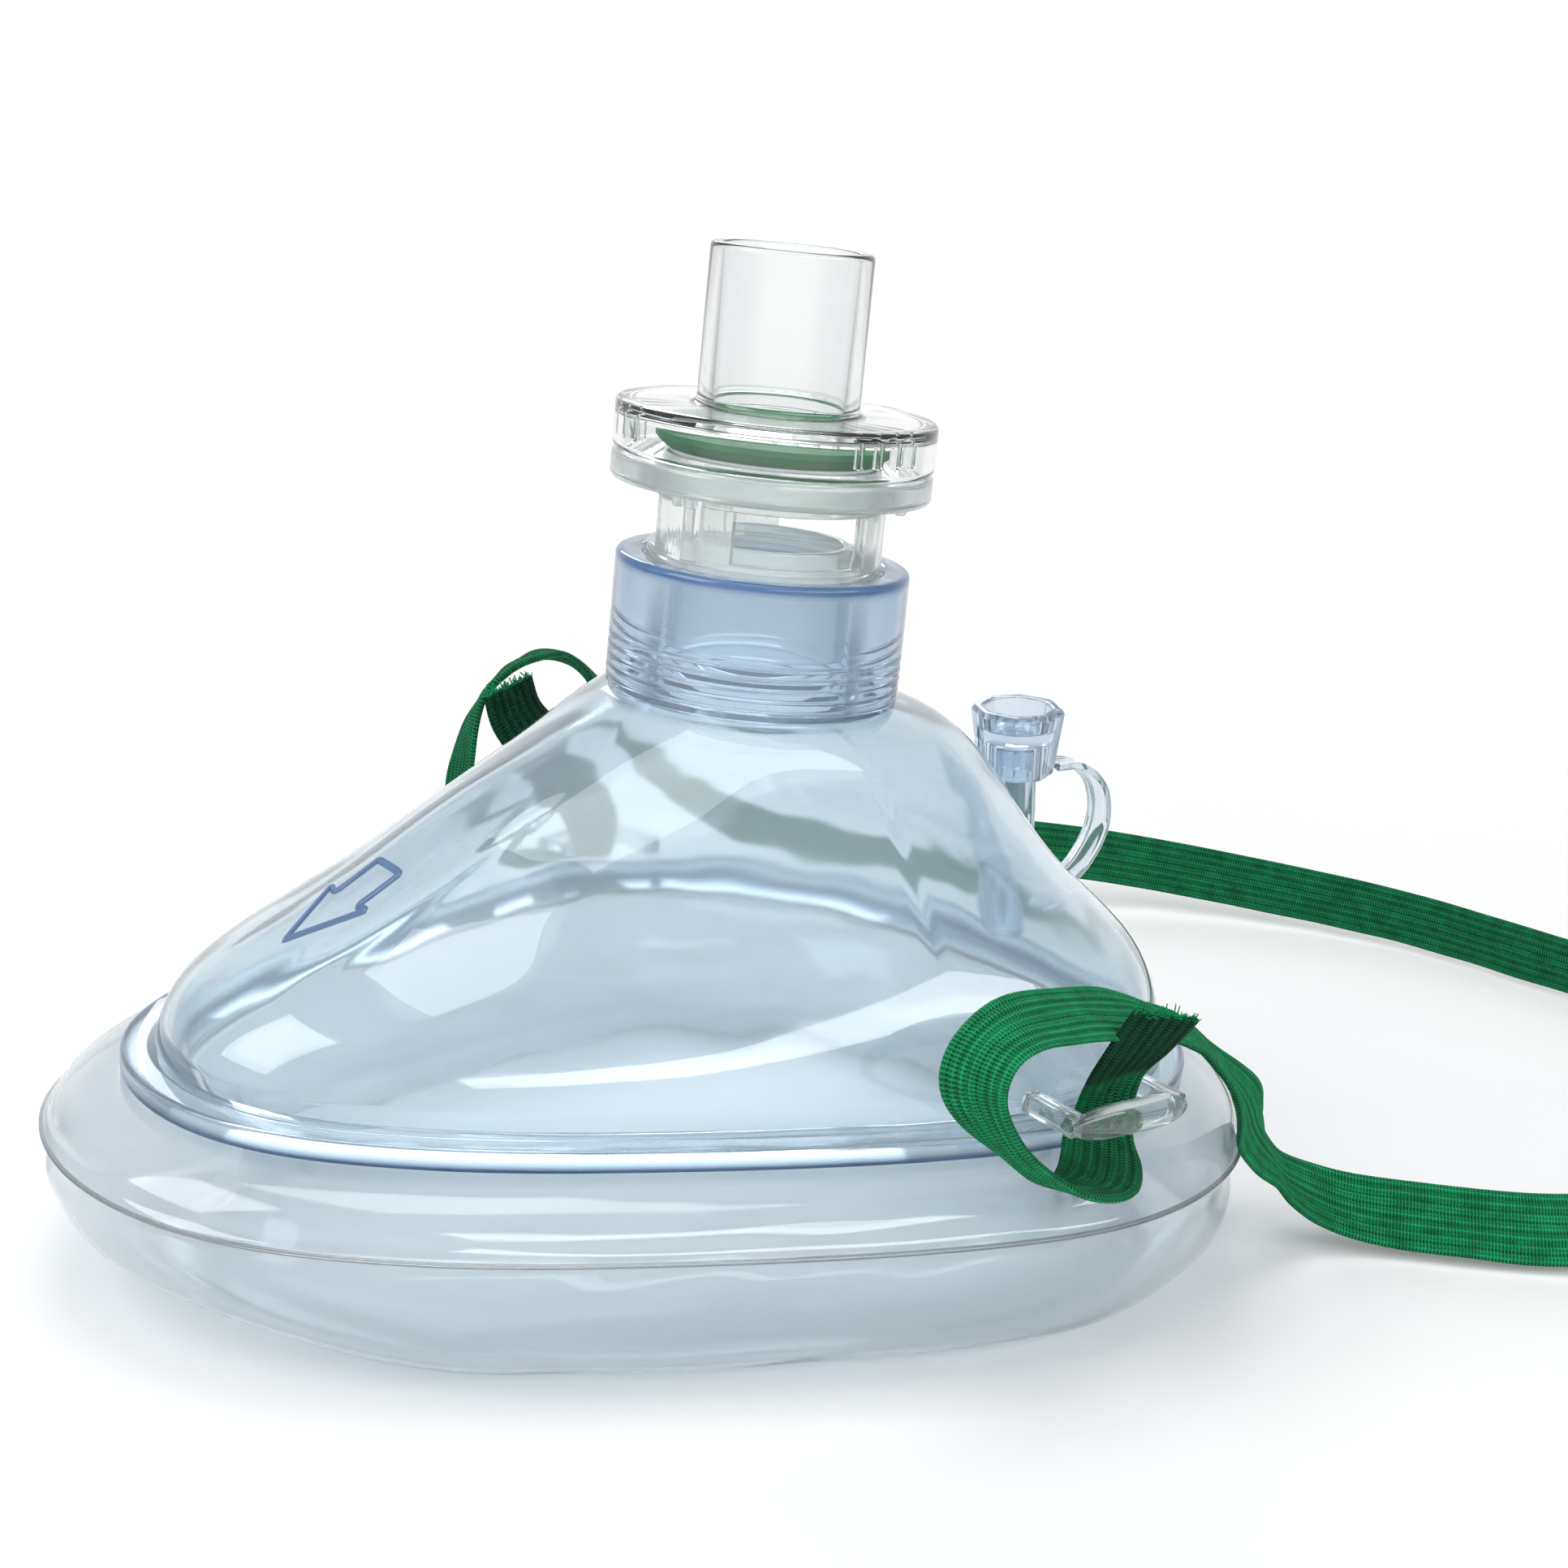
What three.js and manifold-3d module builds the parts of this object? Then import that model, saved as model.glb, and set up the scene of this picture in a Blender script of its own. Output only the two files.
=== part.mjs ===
// A clear pocket resuscitation mask: an air cushion under a moulded dome, a neck collar with a push-in
// one-way valve and mouthpiece, a capped oxygen port, and an elastic head strap on two slotted lugs.
// Millimetres, +Z up. +X points to the wide chin end, -X to the narrow nose end, -Y to the near lug.
import * as THREE from 'three';
import { mergeVertices } from 'three/addons/utils/BufferGeometryUtils.js';
import Module from 'manifold-3d';

const wasm = await Module();
wasm.setup();

// ---------------------------------------------------------------- driving sizes
const NECK_X = 10.25;           // the neck axis stands this far chinward of the middle of the footprint
const GAP = 0.3;               // clearance kept between neighbouring pieces

const SEGMENTS = 52;           // points round the mask outline
const FLANGE_BOTTOM = 22.3;
const FLANGE_TOP = 24.8;
const FLANGE_WIDTH = 6.5;

const CUSHION_SEAM_Z = 16.2;
const CUSHION_SEAM_OUT = 7.4;  // the welded seam stands this far outside the flange
const FILM = 0.8;              // cushion film thickness
const NOSE_LIFT = 6;           // the nose end of the underside curls up off the table

const DOME_FOOT_IN = 3.6;      // the foot of the dome stands this far inside the flange edge
const DOME_WALL = 1.6;
const DOME_TOP = 62;

const COLLAR_R = 17.15;
const COLLAR_BOTTOM = DOME_TOP + GAP;
const COLLAR_TOP = 77.7;
const SOCKET_R = 11.15;        // 22 mm breathing-system socket
const RECESS_R = 14;
const RECESS_FLOOR = 76.3;

const TAPER_R = 10.8;          // 22 mm male taper of the valve
const TAPER_BOTTOM = 68;
const VENT_R = 13.6;
const VENT_BOTTOM = RECESS_FLOOR + GAP;
const RING_R = 18.5;
const RING_BOTTOM = 86.1;
const RING_TOP = 89.1;
const COVER_TOP = 95.1;
const MOUTH_R = 9.35;
const MOUTH_BORE_R = 7.75;     // 15 mm socket
const MOUTH_TOP = 113.1;
const DIAPHRAGM_R = 13.6;

const PORT_FOOT = new THREE.Vector3(47.8, 2, 27.7);     // on the port axis, just inside the dome
const PORT_AXIS = new THREE.Vector3(-0.1, 0, 1).normalize();
const PORT_R = 2.9;

const STRAP_WIDTH = 9;
const STRAP_THICK = 1;

// ---------------------------------------------------------------- outlines and meshes
// Half of the flange edge from the nose tip to the chin tip, measured from the neck axis.
const HALF_OUTLINE = [
  [-74, 0], [-70, 14], [-56, 26.5], [-32, 38], [0, 48.5], [17, 50.2], [34.5, 44], [47.8, 27.5], [53.5, 0],
];

function outlineCurve() {
  const points = HALF_OUTLINE.map(([x, y]) => new THREE.Vector3(x, -y, 0));
  const back = HALF_OUTLINE.slice(1, -1).reverse().map(([x, y]) => new THREE.Vector3(x, y, 0));
  return new THREE.CatmullRomCurve3([...points, ...back], true, 'centripetal');
}

const CURVE = outlineCurve();

// Outline points pushed out (or in, when negative) along the edge normal, going round counter-clockwise.
function outline(offset) {
  const ring = [];
  for (let i = 0; i < SEGMENTS; i += 1) {
    const point = CURVE.getPointAt(i / SEGMENTS);
    const tangent = CURVE.getTangentAt(i / SEGMENTS);
    ring.push(new THREE.Vector2(point.x + tangent.y * offset, point.y - tangent.x * offset));
  }
  return ring;
}

function toMesh(positions, indices) {
  const geometry = new THREE.BufferGeometry();
  geometry.setAttribute('position', new THREE.Float32BufferAttribute(positions, 3));
  geometry.setIndex(indices);
  return geometry;
}

// Skin over rings of equal length. Each ring is a list of Vector3 taken counter-clockwise seen from
// above; the rings run up the outside and come back down the inside, and the last joins the first.
function closedLoft(rings) {
  const positions = rings.flat().flatMap((point) => [point.x, point.y, point.z]);
  const count = rings[0].length;
  const indices = [];
  for (let j = 0; j < rings.length; j += 1) {
    const next = (j + 1) % rings.length;
    for (let i = 0; i < count; i += 1) {
      const k = (i + 1) % count;
      const a = j * count + i;
      const b = j * count + k;
      const c = next * count + k;
      const d = next * count + i;
      indices.push(a, b, c, a, c, d);
    }
  }
  return toMesh(positions, indices);
}

// Band swept round the mask outline from a section of [offset, height] pairs, counter-clockwise as
// seen with the outside of the mask to the right.
function outlineSweep(section, shape = (x, z) => z) {
  return closedLoft(section.map(([offset, z]) => outline(offset).map(
    (point) => new THREE.Vector3(point.x, point.y, shape(point.x, z)))));
}

function lathe(profile, steps = 40) {
  const points = profile.map(([r, z]) => new THREE.Vector2(r, z));
  return new THREE.LatheGeometry(points, steps).rotateX(Math.PI / 2);
}

function asManifold(geometry) {
  const clean = geometry.clone();
  clean.deleteAttribute('normal');
  clean.deleteAttribute('uv');
  const merged = mergeVertices(clean, 1e-4);
  return new wasm.Manifold(new wasm.Mesh({
    numProp: 3,
    vertProperties: new Float32Array(merged.attributes.position.array),
    triVerts: new Uint32Array(merged.index.array),
  }));
}

function fromManifold(solid) {
  const mesh = solid.getMesh();
  return toMesh(Array.from(mesh.vertProperties), Array.from(mesh.triVerts));
}

function smooth(edge0, edge1, value) {
  const t = Math.min(Math.max((value - edge0) / (edge1 - edge0), 0), 1);
  return t * t * (3 - 2 * t);
}

// Smooth curve through [a, b] pairs, sampled evenly.
function resample(pairs, steps) {
  const curve = new THREE.CatmullRomCurve3(
    pairs.map(([a, b]) => new THREE.Vector3(a, b, 0)), false, 'centripetal');
  return curve.getPoints(steps).map((point) => [point.x, point.y]);
}

const group = new THREE.Group();

function add(name, geometry, color, roughness = 0.15) {
  geometry.deleteAttribute('uv');
  geometry.deleteAttribute('normal');
  const welded = mergeVertices(geometry, 1e-4);
  welded.computeVertexNormals();
  welded.translate(NECK_X, 0, 0);
  const mesh = new THREE.Mesh(welded, new THREE.MeshStandardMaterial({ color, roughness, metalness: 0 }));
  mesh.name = name;
  group.add(mesh);
}

// ---------------------------------------------------------------- dome
// Height against distance inward from the foot (0) to the collar (1), for three directions.
const DOME_PROFILES = {
  chin: [[0, 0], [0.0, 0.13], [0.06, 0.27], [0.2, 0.38], [0.38, 0.5], [0.55, 0.67], [0.66, 0.83], [0.8, 0.95], [1, 1]],
  side: [[0, 0], [0.01, 0.12], [0.07, 0.26], [0.2, 0.42], [0.38, 0.6], [0.55, 0.77], [0.72, 0.9], [0.86, 0.97], [1, 1]],
  cheek: [[0, 0], [0.01, 0.08], [0.06, 0.16], [0.17, 0.26], [0.36, 0.42], [0.6, 0.65], [0.8, 0.83], [0.92, 0.94], [1, 1]],
  nose: [[0, 0], [0.01, 0.1], [0.06, 0.2], [0.17, 0.31], [0.36, 0.46], [0.6, 0.68], [0.8, 0.84], [0.92, 0.94], [1, 1]],
};

function domeProfile(angle) {
  const chin = Math.max(0, Math.cos(angle)) ** 2;
  const nose = Math.max(0, -Math.cos(angle)) ** 8;
  const cheek = Math.max(0, -Math.cos(angle)) - nose;
  const weights = { chin, cheek, nose, side: 1 - chin - cheek - nose };
  const blended = DOME_PROFILES.side.map((_, i) => {
    const pair = [0, 0];
    for (const [name, weight] of Object.entries(weights)) {
      pair[0] += weight * DOME_PROFILES[name][i][0];
      pair[1] += weight * DOME_PROFILES[name][i][1];
    }
    return pair;
  });
  return resample(blended, 14);
}

function domeSkin(inset, drop) {
  const foot = outline(-DOME_FOOT_IN - inset);
  const bottom = FLANGE_TOP + GAP;
  const profiles = foot.map((point) => domeProfile(Math.atan2(point.y, point.x)));
  const rings = [];
  for (let j = 0; j < profiles[0].length; j += 1) {
    rings.push(foot.map((point, i) => {
      const [u, v] = profiles[i][j];
      const angle = Math.atan2(point.y, point.x);
      const top = COLLAR_R - 0.3 - inset;
      const x = point.x + (top * Math.cos(angle) - point.x) * u;
      const y = point.y + (top * Math.sin(angle) - point.y) * u;
      return new THREE.Vector3(x, y, bottom + (DOME_TOP - bottom - drop) * v);
    }));
  }
  return rings;
}

function throatRing(radius, z) {
  return outline(-DOME_FOOT_IN).map((point) => {
    const angle = Math.atan2(point.y, point.x);
    return new THREE.Vector3(radius * Math.cos(angle), radius * Math.sin(angle), z);
  });
}

function makeDome() {
  const outside = domeSkin(0, 0);
  const inside = domeSkin(DOME_WALL, DOME_WALL);
  const rings = [
    ...outside,
    throatRing(SOCKET_R, DOME_TOP),
    throatRing(SOCKET_R, DOME_TOP - DOME_WALL),
    ...inside.reverse(),
  ];
  const hole = portSolid([[0, -6], [PORT_R + GAP, -6], [PORT_R + GAP, 30], [0, 30]]);
  return fromManifold(asManifold(closedLoft(rings)).subtract(asManifold(hole)));
}

// ---------------------------------------------------------------- oxygen port, cap and tether
// A turned piece standing on the port axis, heights measured from the port foot.
function portSolid(profile, steps = 32) {
  const turn = new THREE.Quaternion().setFromUnitVectors(new THREE.Vector3(0, 0, 1), PORT_AXIS);
  return lathe(profile, steps).applyQuaternion(turn).translate(PORT_FOOT.x, PORT_FOOT.y, PORT_FOOT.z);
}

function makePort() {
  const bore = 1.6;
  return portSolid([
    [bore, -1], [PORT_R, -1], [PORT_R, 15], [PORT_R - 0.3, 24], [bore, 24], [bore, -1],
  ]);
}

const CAP_BOTTOM = 20;         // along the port axis
const CAP_TOP = 29;

function makeCap() {
  const body = portSolid([
    [0, CAP_BOTTOM + 4.6], [PORT_R + 0.5, CAP_BOTTOM + 4.6], [PORT_R + 0.5, CAP_BOTTOM],
    [4.7, CAP_BOTTOM], [4.9, CAP_BOTTOM + 1], [5.9, CAP_TOP - 1], [5.5, CAP_TOP],
    [4.4, CAP_TOP], [4, CAP_TOP - 1], [3.8, CAP_TOP - 2.4], [0, CAP_TOP - 2.4],
  ], 8);
  return body;
}

const TETHER_ROUTE = [
  [51.9, 2, 48.2], [56.4, 2, 47.9], [60.9, 2, 44.6], [62.2, 2, 39.4], [59.8, 2, 34.2], [55.6, 2, 30.6],
];

// Flat band along a route. Each route point carries its own across direction; the band is `width`
// wide along it and `thick` deep at right angles to both.
function band(route, across, width, thick, steps) {
  const path = new THREE.CatmullRomCurve3(
    route.map((point) => new THREE.Vector3(...point)), false, 'centripetal');
  const sides = new THREE.CatmullRomCurve3(
    across.map((point) => new THREE.Vector3(...point)), false, 'catmullrom');
  const rings = [];
  for (let i = 0; i <= steps; i += 1) {
    const t = i / steps;
    const centre = path.getPoint(t);
    const tangent = path.getTangent(t).normalize();
    const side = sides.getPoint(t);
    side.addScaledVector(tangent, -side.dot(tangent)).normalize();
    const depth = new THREE.Vector3().crossVectors(tangent, side);
    const corners = [[-1, -1], [1, -1], [1, 1], [-1, 1]];
    rings.push(corners.map(([a, b]) => centre.clone()
      .addScaledVector(side, a * width / 2).addScaledVector(depth, b * thick / 2)));
  }
  const positions = rings.flat().flatMap((point) => [point.x, point.y, point.z]);
  const indices = [];
  for (let j = 0; j < steps; j += 1) {
    for (let i = 0; i < 4; i += 1) {
      const k = (i + 1) % 4;
      const a = j * 4 + i;
      const b = j * 4 + k;
      indices.push(a, b, b + 4, a, b + 4, a + 4);
    }
  }
  const last = steps * 4;
  indices.push(0, 2, 1, 0, 3, 2, last, last + 1, last + 2, last, last + 2, last + 3);
  return toMesh(positions, indices);
}

// ---------------------------------------------------------------- cushion
function noseLift(x, z) {
  return Math.max(z, 0) + NOSE_LIFT * smooth(-48, -84, x) * Math.max(0, 1 - z / CUSHION_SEAM_Z);
}

// Film of even thickness along an open [offset, height] line, thickened to the right of travel.
function film(line, steps) {
  const points = resample(line, steps);
  const inner = points.map(([a, z], i) => {
    const [a0, z0] = points[Math.max(i - 1, 0)];
    const [a1, z1] = points[Math.min(i + 1, points.length - 1)];
    const length = Math.hypot(a1 - a0, z1 - z0);
    return [a - (z1 - z0) / length * FILM, z + (a1 - a0) / length * FILM];
  });
  return [...points, ...inner.reverse()];
}

function makeCushionUpper() {
  const top = FLANGE_BOTTOM - GAP;
  return outlineSweep(film([
    [CUSHION_SEAM_OUT, CUSHION_SEAM_Z + GAP], [6.7, 18.6], [4.9, 20.6], [2.4, 21.7], [0, top], [-2.5, top],
    [-6.5, top],
  ], 9));
}

function makeCushionLower() {
  return outlineSweep(film([
    [-7.6, 21.6], [-11, 18.6], [-13.6, 13.4], [-13.4, 7.2], [-10.6, 2.4], [-5.4, 0.1], [-0.6, 0], [4, 2.2],
    [6.6, 6.4], [7.4, 11], [CUSHION_SEAM_OUT, CUSHION_SEAM_Z - GAP / 2],
  ], 15), noseLift);
}

// ---------------------------------------------------------------- lugs
const LUG_X = 14;              // middle of the bar the strap goes round
const LUG_LENGTH = 17;
const LUG_BAR_Y = 56;
const LUG_Z = 27.8;
const LUG_THICK = 3.8;
const LUG_BAR_WIDTH = 2.8;
const ARM_WIDTH = 2.2;
const ARM_THICK = 2.4;
const ARM_ROOT_Y = 47.9;

// Rounded bar held off the side of the dome by two arms, leaving a slot for the strap.
function makeLug(side) {
  const bar = wasm.Manifold.cylinder(LUG_LENGTH, LUG_BAR_WIDTH / 2, LUG_BAR_WIDTH / 2, 12, true)
    .rotate([0, 90, 0]).scale([1, 1, LUG_THICK / LUG_BAR_WIDTH]).translate([LUG_X, -LUG_BAR_Y, LUG_Z]);
  let lug = bar;
  for (const end of [-1, 1]) {
    const x = LUG_X + end * (LUG_LENGTH - ARM_WIDTH) / 2;
    const root = ARM_ROOT_Y - (end > 0 ? 1.1 : 0);
    const arm = wasm.Manifold.cube([ARM_WIDTH, LUG_BAR_Y - root, ARM_THICK], true);
    lug = lug.add(arm.translate([x, -(LUG_BAR_Y + root) / 2, LUG_Z]));
  }
  return fromManifold(side < 0 ? lug : lug.mirror([0, 1, 0]));
}

// ---------------------------------------------------------------- nose arrow
// Raised outline of an arrow pointing down the nose ridge, standing just clear of the dome skin.
const ARROW_TIP = [-58.6, 38.35];
const ARROW_ROOT = [-38.8, 50.05];
const ARROW_SHAPE = [
  [0, 0], [9.4, 4.8], [8.4, 2.8], [14.6, 2.8], [14.6, -2.8], [8.4, -2.8], [9.4, -4.8],
];

function slab(corners, low, high) {
  const shape = new THREE.Shape(corners.map(([a, b]) => new THREE.Vector2(a, b)));
  return new THREE.ExtrudeGeometry(shape, { depth: high - low, bevelEnabled: false }).translate(0, 0, low);
}

function makeArrow() {
  const run = new THREE.Vector3(ARROW_ROOT[0] - ARROW_TIP[0], 0, ARROW_ROOT[1] - ARROW_TIP[1]).normalize();
  const across = new THREE.Vector3(0, 1, 0);
  const up = new THREE.Vector3().crossVectors(run, across);
  const outer = asManifold(slab(ARROW_SHAPE, 0, 0.5));
  const inner = asManifold(slab(insetArrow(0.7), -1, 2));
  const basis = new THREE.Matrix4().makeBasis(run, across, up);
  return fromManifold(outer.subtract(inner)).applyMatrix4(basis).translate(ARROW_TIP[0], 0, ARROW_TIP[1]);
}

// The arrow outline moved inward by `margin`, each corner along the bisector of its two edges.
function insetArrow(margin) {
  const count = ARROW_SHAPE.length;
  return ARROW_SHAPE.map((corner, i) => {
    const point = new THREE.Vector2(...corner);
    const before = point.clone().sub(new THREE.Vector2(...ARROW_SHAPE[(i + count - 1) % count])).normalize();
    const after = new THREE.Vector2(...ARROW_SHAPE[(i + 1) % count]).sub(point).normalize();
    const normal = new THREE.Vector2(before.y + after.y, -before.x - after.x);
    const scale = margin / Math.max(0.25, 1 + before.dot(after));
    const moved = point.addScaledVector(normal, scale);
    return [moved.x, moved.y];
  });
}

// ---------------------------------------------------------------- neck collar
function makeCollar() {
  const ridges = [];
  for (let i = 0; i < 5; i += 1) {
    const z = COLLAR_BOTTOM + 1 + i * 1.15;
    ridges.push([COLLAR_R - 0.15, z], [COLLAR_R + 0.12, z + 0.35], [COLLAR_R - 0.15, z + 0.8]);
  }
  return lathe([
    [SOCKET_R, COLLAR_BOTTOM], [COLLAR_R - 0.15, COLLAR_BOTTOM], ...ridges,
    [COLLAR_R - 0.05, COLLAR_TOP - 3], [COLLAR_R - 0.35, COLLAR_TOP - 1.2], [COLLAR_R - 1.2, COLLAR_TOP - 0.25],
    [COLLAR_R - 2.2, COLLAR_TOP], [RECESS_R + 0.3, COLLAR_TOP - 0.2], [RECESS_R, COLLAR_TOP - 0.6],
    [RECESS_R, RECESS_FLOOR], [SOCKET_R, RECESS_FLOOR], [SOCKET_R, COLLAR_BOTTOM],
  ]);
}

// ---------------------------------------------------------------- one-way valve
const POSTS = 3;
const VENT_SILL = 78.9;        // the vent windows are open from here up to the ring
const SEAT_TOP = 89.8;         // the diaphragm rests on this lip
const SEAT_R = 12;
const PANEL_HALF = Math.PI * 25 / 180;  // half the turn of each wall panel between the vent windows

// Lower housing: male taper, vent floor, wall panels and posts between the vent windows, diaphragm seat.
function makeValveBody() {
  const lower = asManifold(lathe([
    [TAPER_R - 1.6, TAPER_BOTTOM], [TAPER_R - 0.3, TAPER_BOTTOM], [TAPER_R, VENT_BOTTOM],
    [VENT_R, VENT_BOTTOM], [VENT_R, VENT_SILL], [VENT_R - 1.4, VENT_SILL], [VENT_R - 1.4, VENT_BOTTOM + 1.2],
    [TAPER_R - 0.6, VENT_BOTTOM + 1.2], [TAPER_R - 0.8, VENT_SILL + 1.2], [TAPER_R - 1.8, VENT_SILL + 1.2],
    [TAPER_R - 1.6, TAPER_BOTTOM],
  ]));
  const upper = asManifold(lathe([
    [VENT_R - 1.4, RING_BOTTOM - 1.4], [VENT_R, RING_BOTTOM - 1.4], [VENT_R, RING_TOP],
    [SEAT_R + 0.6, RING_TOP], [SEAT_R + 0.4, SEAT_TOP], [SEAT_R - 0.4, SEAT_TOP],
    [SEAT_R - 0.4, RING_TOP - 1.2], [VENT_R - 1.4, RING_BOTTOM - 1.4],
  ]));
  let body = lower.add(upper);
  const height = RING_BOTTOM - VENT_SILL;
  const post = wasm.Manifold.cube([1.4, 3.2, height], true);
  const wall = asManifold(lathe([
    [VENT_R - 1.3, VENT_SILL - 0.3], [VENT_R - 0.02, VENT_SILL - 0.3], [VENT_R - 0.02, RING_BOTTOM - 1.1],
    [VENT_R - 1.3, RING_BOTTOM - 1.1], [VENT_R - 1.3, VENT_SILL - 0.3],
  ]));
  const reach = 20;
  const sector = asManifold(slab([
    [0, 0], [reach * Math.cos(PANEL_HALF), -reach * Math.sin(PANEL_HALF)],
    [reach * Math.cos(PANEL_HALF), reach * Math.sin(PANEL_HALF)],
  ], VENT_SILL - 1, RING_BOTTOM));
  const panel = wall.intersect(sector);
  for (let i = 0; i < POSTS; i += 1) {
    const middle = (VENT_SILL + RING_BOTTOM - 1.4) / 2;
    body = body.add(post.translate([VENT_R - 0.95, 0, middle]).rotate([0, 0, 72 + i * 360 / POSTS]));
    body = body.add(panel.rotate([0, 0, 72 + i * 360 / POSTS]));
  }
  return fromManifold(body);
}

// Frosted ring that closes the underside of the cover, with three short snap tabs below it.
function makeValveRing() {
  const ring = asManifold(lathe([
    [VENT_R + GAP, RING_BOTTOM], [RING_R - 0.5, RING_BOTTOM], [RING_R, RING_BOTTOM + 0.5],
    [RING_R, RING_TOP], [VENT_R + GAP, RING_TOP], [VENT_R + GAP, RING_BOTTOM],
  ]));
  const tab = wasm.Manifold.cube([1.4, 3, 3], true);
  let solid = ring;
  for (let i = 0; i < 3; i += 1) {
    solid = solid.add(tab.translate([RING_R - 3.2, 0, RING_BOTTOM]).rotate([0, 0, 196 + i * 120]));
  }
  return fromManifold(solid);
}

function makeValveCover() {
  const wall = 1.5;
  const plate = 1.3;
  return lathe([
    [RING_R - wall, RING_TOP + GAP], [RING_R, RING_TOP + GAP], [RING_R, COVER_TOP - 0.6],
    [RING_R - 0.6, COVER_TOP], [MOUTH_R + 0.5, COVER_TOP], [MOUTH_R - 0.1, COVER_TOP + 0.6],
    [MOUTH_R, MOUTH_TOP - 0.4], [MOUTH_R - 0.4, MOUTH_TOP], [MOUTH_BORE_R + 0.2, MOUTH_TOP],
    [MOUTH_BORE_R, MOUTH_TOP - 0.3], [MOUTH_BORE_R - 0.25, COVER_TOP - plate],
    [RING_R - wall, COVER_TOP - plate], [RING_R - wall, RING_TOP + GAP],
  ]);
}

// Shallow silicone bowl: the belly rests on the seat lip and the rim floats under the cover.
function makeDiaphragm() {
  const thick = 0.7;
  const under = [[0, 0.25], [5, 0.28], [SEAT_R, 0.3], [12.9, 0.75], [DIAPHRAGM_R, 1.5]];
  const profile = [
    ...under.map(([r, z]) => [r, SEAT_TOP + z]),
    ...[...under].reverse().map(([r, z]) => [r, SEAT_TOP + z + thick]),
  ];
  return lathe(profile);
}

// ---------------------------------------------------------------- head strap
// One elastic band: a loop through each lug, sewn back on itself, and the free run between them.
// Each route point is followed by the across direction of the band there.
const NEAR_LOOP = [
  [[12.5, -60.3, 41.1], [0.95, -0.1, -0.3]], [[12.2, -57.4, 36.1], [0.97, 0, -0.2]],
  [[13.2, -53.2, 30], [1, 0, 0]], [[12.6, -53.4, 25.4], [1, 0, 0]], [[9.8, -56.8, 23.4], [0.97, -0.2, 0]],
  [[5.8, -59.8, 23], [0.7, -0.72, 0]], [[1, -60.4, 23.8], [0.1, -1, 0.1]],
  [[-3.6, -59.2, 26.8], [0, -1, 0.1]], [[-8, -57.8, 30.8], [0.05, -1, 0.1]],
  [[-10.1, -56.6, 35], [0.15, -1, 0.1]], [[-8.9, -56.3, 38.8], [0.15, -1, 0]],
  [[-4.8, -56, 40.9], [0.05, -1, -0.2]], [[1.8, -55.2, 40.8], [-0.1, -1, -0.3]],
  [[10.3, -53.7, 39.3], [-0.2, -1, -0.3]], [[17.7, -52.7, 37.5], [-0.25, -1, -0.2]],
  [[21.2, -52.8, 36.1], [-0.3, -1, -0.15]],
];
const RUN = [
  [[21.7, -52.8, 35.9], [0.3, 1, 0.15]], [[24.9, -52.9, 34.5], [0.5, 0.85, 0]],
  [[30, -53.9, 29.9], [0.74, 0.57, -0.22]], [[35, -53.4, 24.9], [0.86, 0.42, -0.32]],
  [[41, -50.8, 19.1], [0.84, 0.45, -0.25]], [[47.7, -47.9, 13.5], [0.7, 0.7, -0.05]],
  [[53.6, -46.4, 8.7], [0.65, 0.7, 0.2]], [[58.9, -47.5, 6], [0.5, 0.6, 0.5]],
  [[63, -50.2, 4.8], [0.4, 0.6, 0.65]], [[72.8, -58.4, 4.4], [0.38, 0.55, 0.75]],
  [[83, -66.1, 4.6], [0.3, 0.5, 0.8]], [[118, -76, 5], [0, 0.3, 1]], [[150, -70, 5.2], [0, 0, 1]],
  [[169, -48, 5.2], [0, 0, 1]], [[175, -20, 5.2], [0, 0, 1]], [[170.5, 0, 5.2], [0, 0, 1]],
  [[163.5, 26, 5.4], [0, 0.1, 1]], [[151, 44.6, 6.2], [0, 0.2, 1]], [[129, 63, 8.5], [0, 0.3, 1]],
  [[95, 73, 13], [0, 0.4, 1]], [[55, 72, 23], [0, 0.5, 1]], [[30.8, 66.1, 36.9], [0.3, 0.8, 0.5]],
  [[21.2, 63.2, 44.4], [0.5, 0.83, 0.05]], [[16, 62.8, 49], [0.5, 0.83, -0.17]],
  [[10.8, 61.6, 51], [0.5, 0.83, -0.19]], [[6.8, 60.4, 50.9], [0.5, 0.83, -0.2]],
  [[4, 59.6, 50.3], [0.5, 0.83, -0.2]], [[2.3, 59.2, 49.5], [0.5, 0.83, -0.2]],
  [[1.3, 59, 48.9], [0.5, 0.83, -0.2]],
];
const FAR_LOOP = [
  [[0.9, 58.9, 48.6], [0.5, 0.83, -0.2]], [[-0.9, 58.5, 47.4], [0.5, 0.83, -0.2]],
  [[-3.1, 58, 43.8], [0.4, 0.9, -0.05]], [[-4.1, 57.9, 39.3], [0.3, 0.95, 0]],
  [[-4.2, 58.5, 33.6], [0.1, 1, 0]], [[-2, 59.6, 28.2], [0, 1, 0]], [[2.8, 60.8, 24.6], [0, 1, 0]],
  [[8.4, 60.6, 23.6], [0.6, 0.8, 0]], [[12, 57.4, 23.7], [1, 0.2, 0]], [[13.8, 53.8, 24.7], [1, 0, 0]],
  [[14, 53, 28.8], [1, 0, 0]], [[11.6, 52.6, 34.4], [1, 0, -0.1]], [[5, 52.6, 40.6], [0.98, 0.1, -0.1]],
  [[0.8, 53.2, 45.2], [0.98, 0.18, 0]], [[-0.6, 53.6, 49.2], [0.98, 0.18, 0]],
];

function strap(route, steps) {
  return band(route.map(([point]) => point), route.map(([, side]) => side), STRAP_WIDTH, STRAP_THICK, steps);
}

// ---------------------------------------------------------------- assembly
const CLEAR = '#dfeaf2';
const BLUE = '#a9c0dc';
const GREEN = '#14844a';

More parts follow.
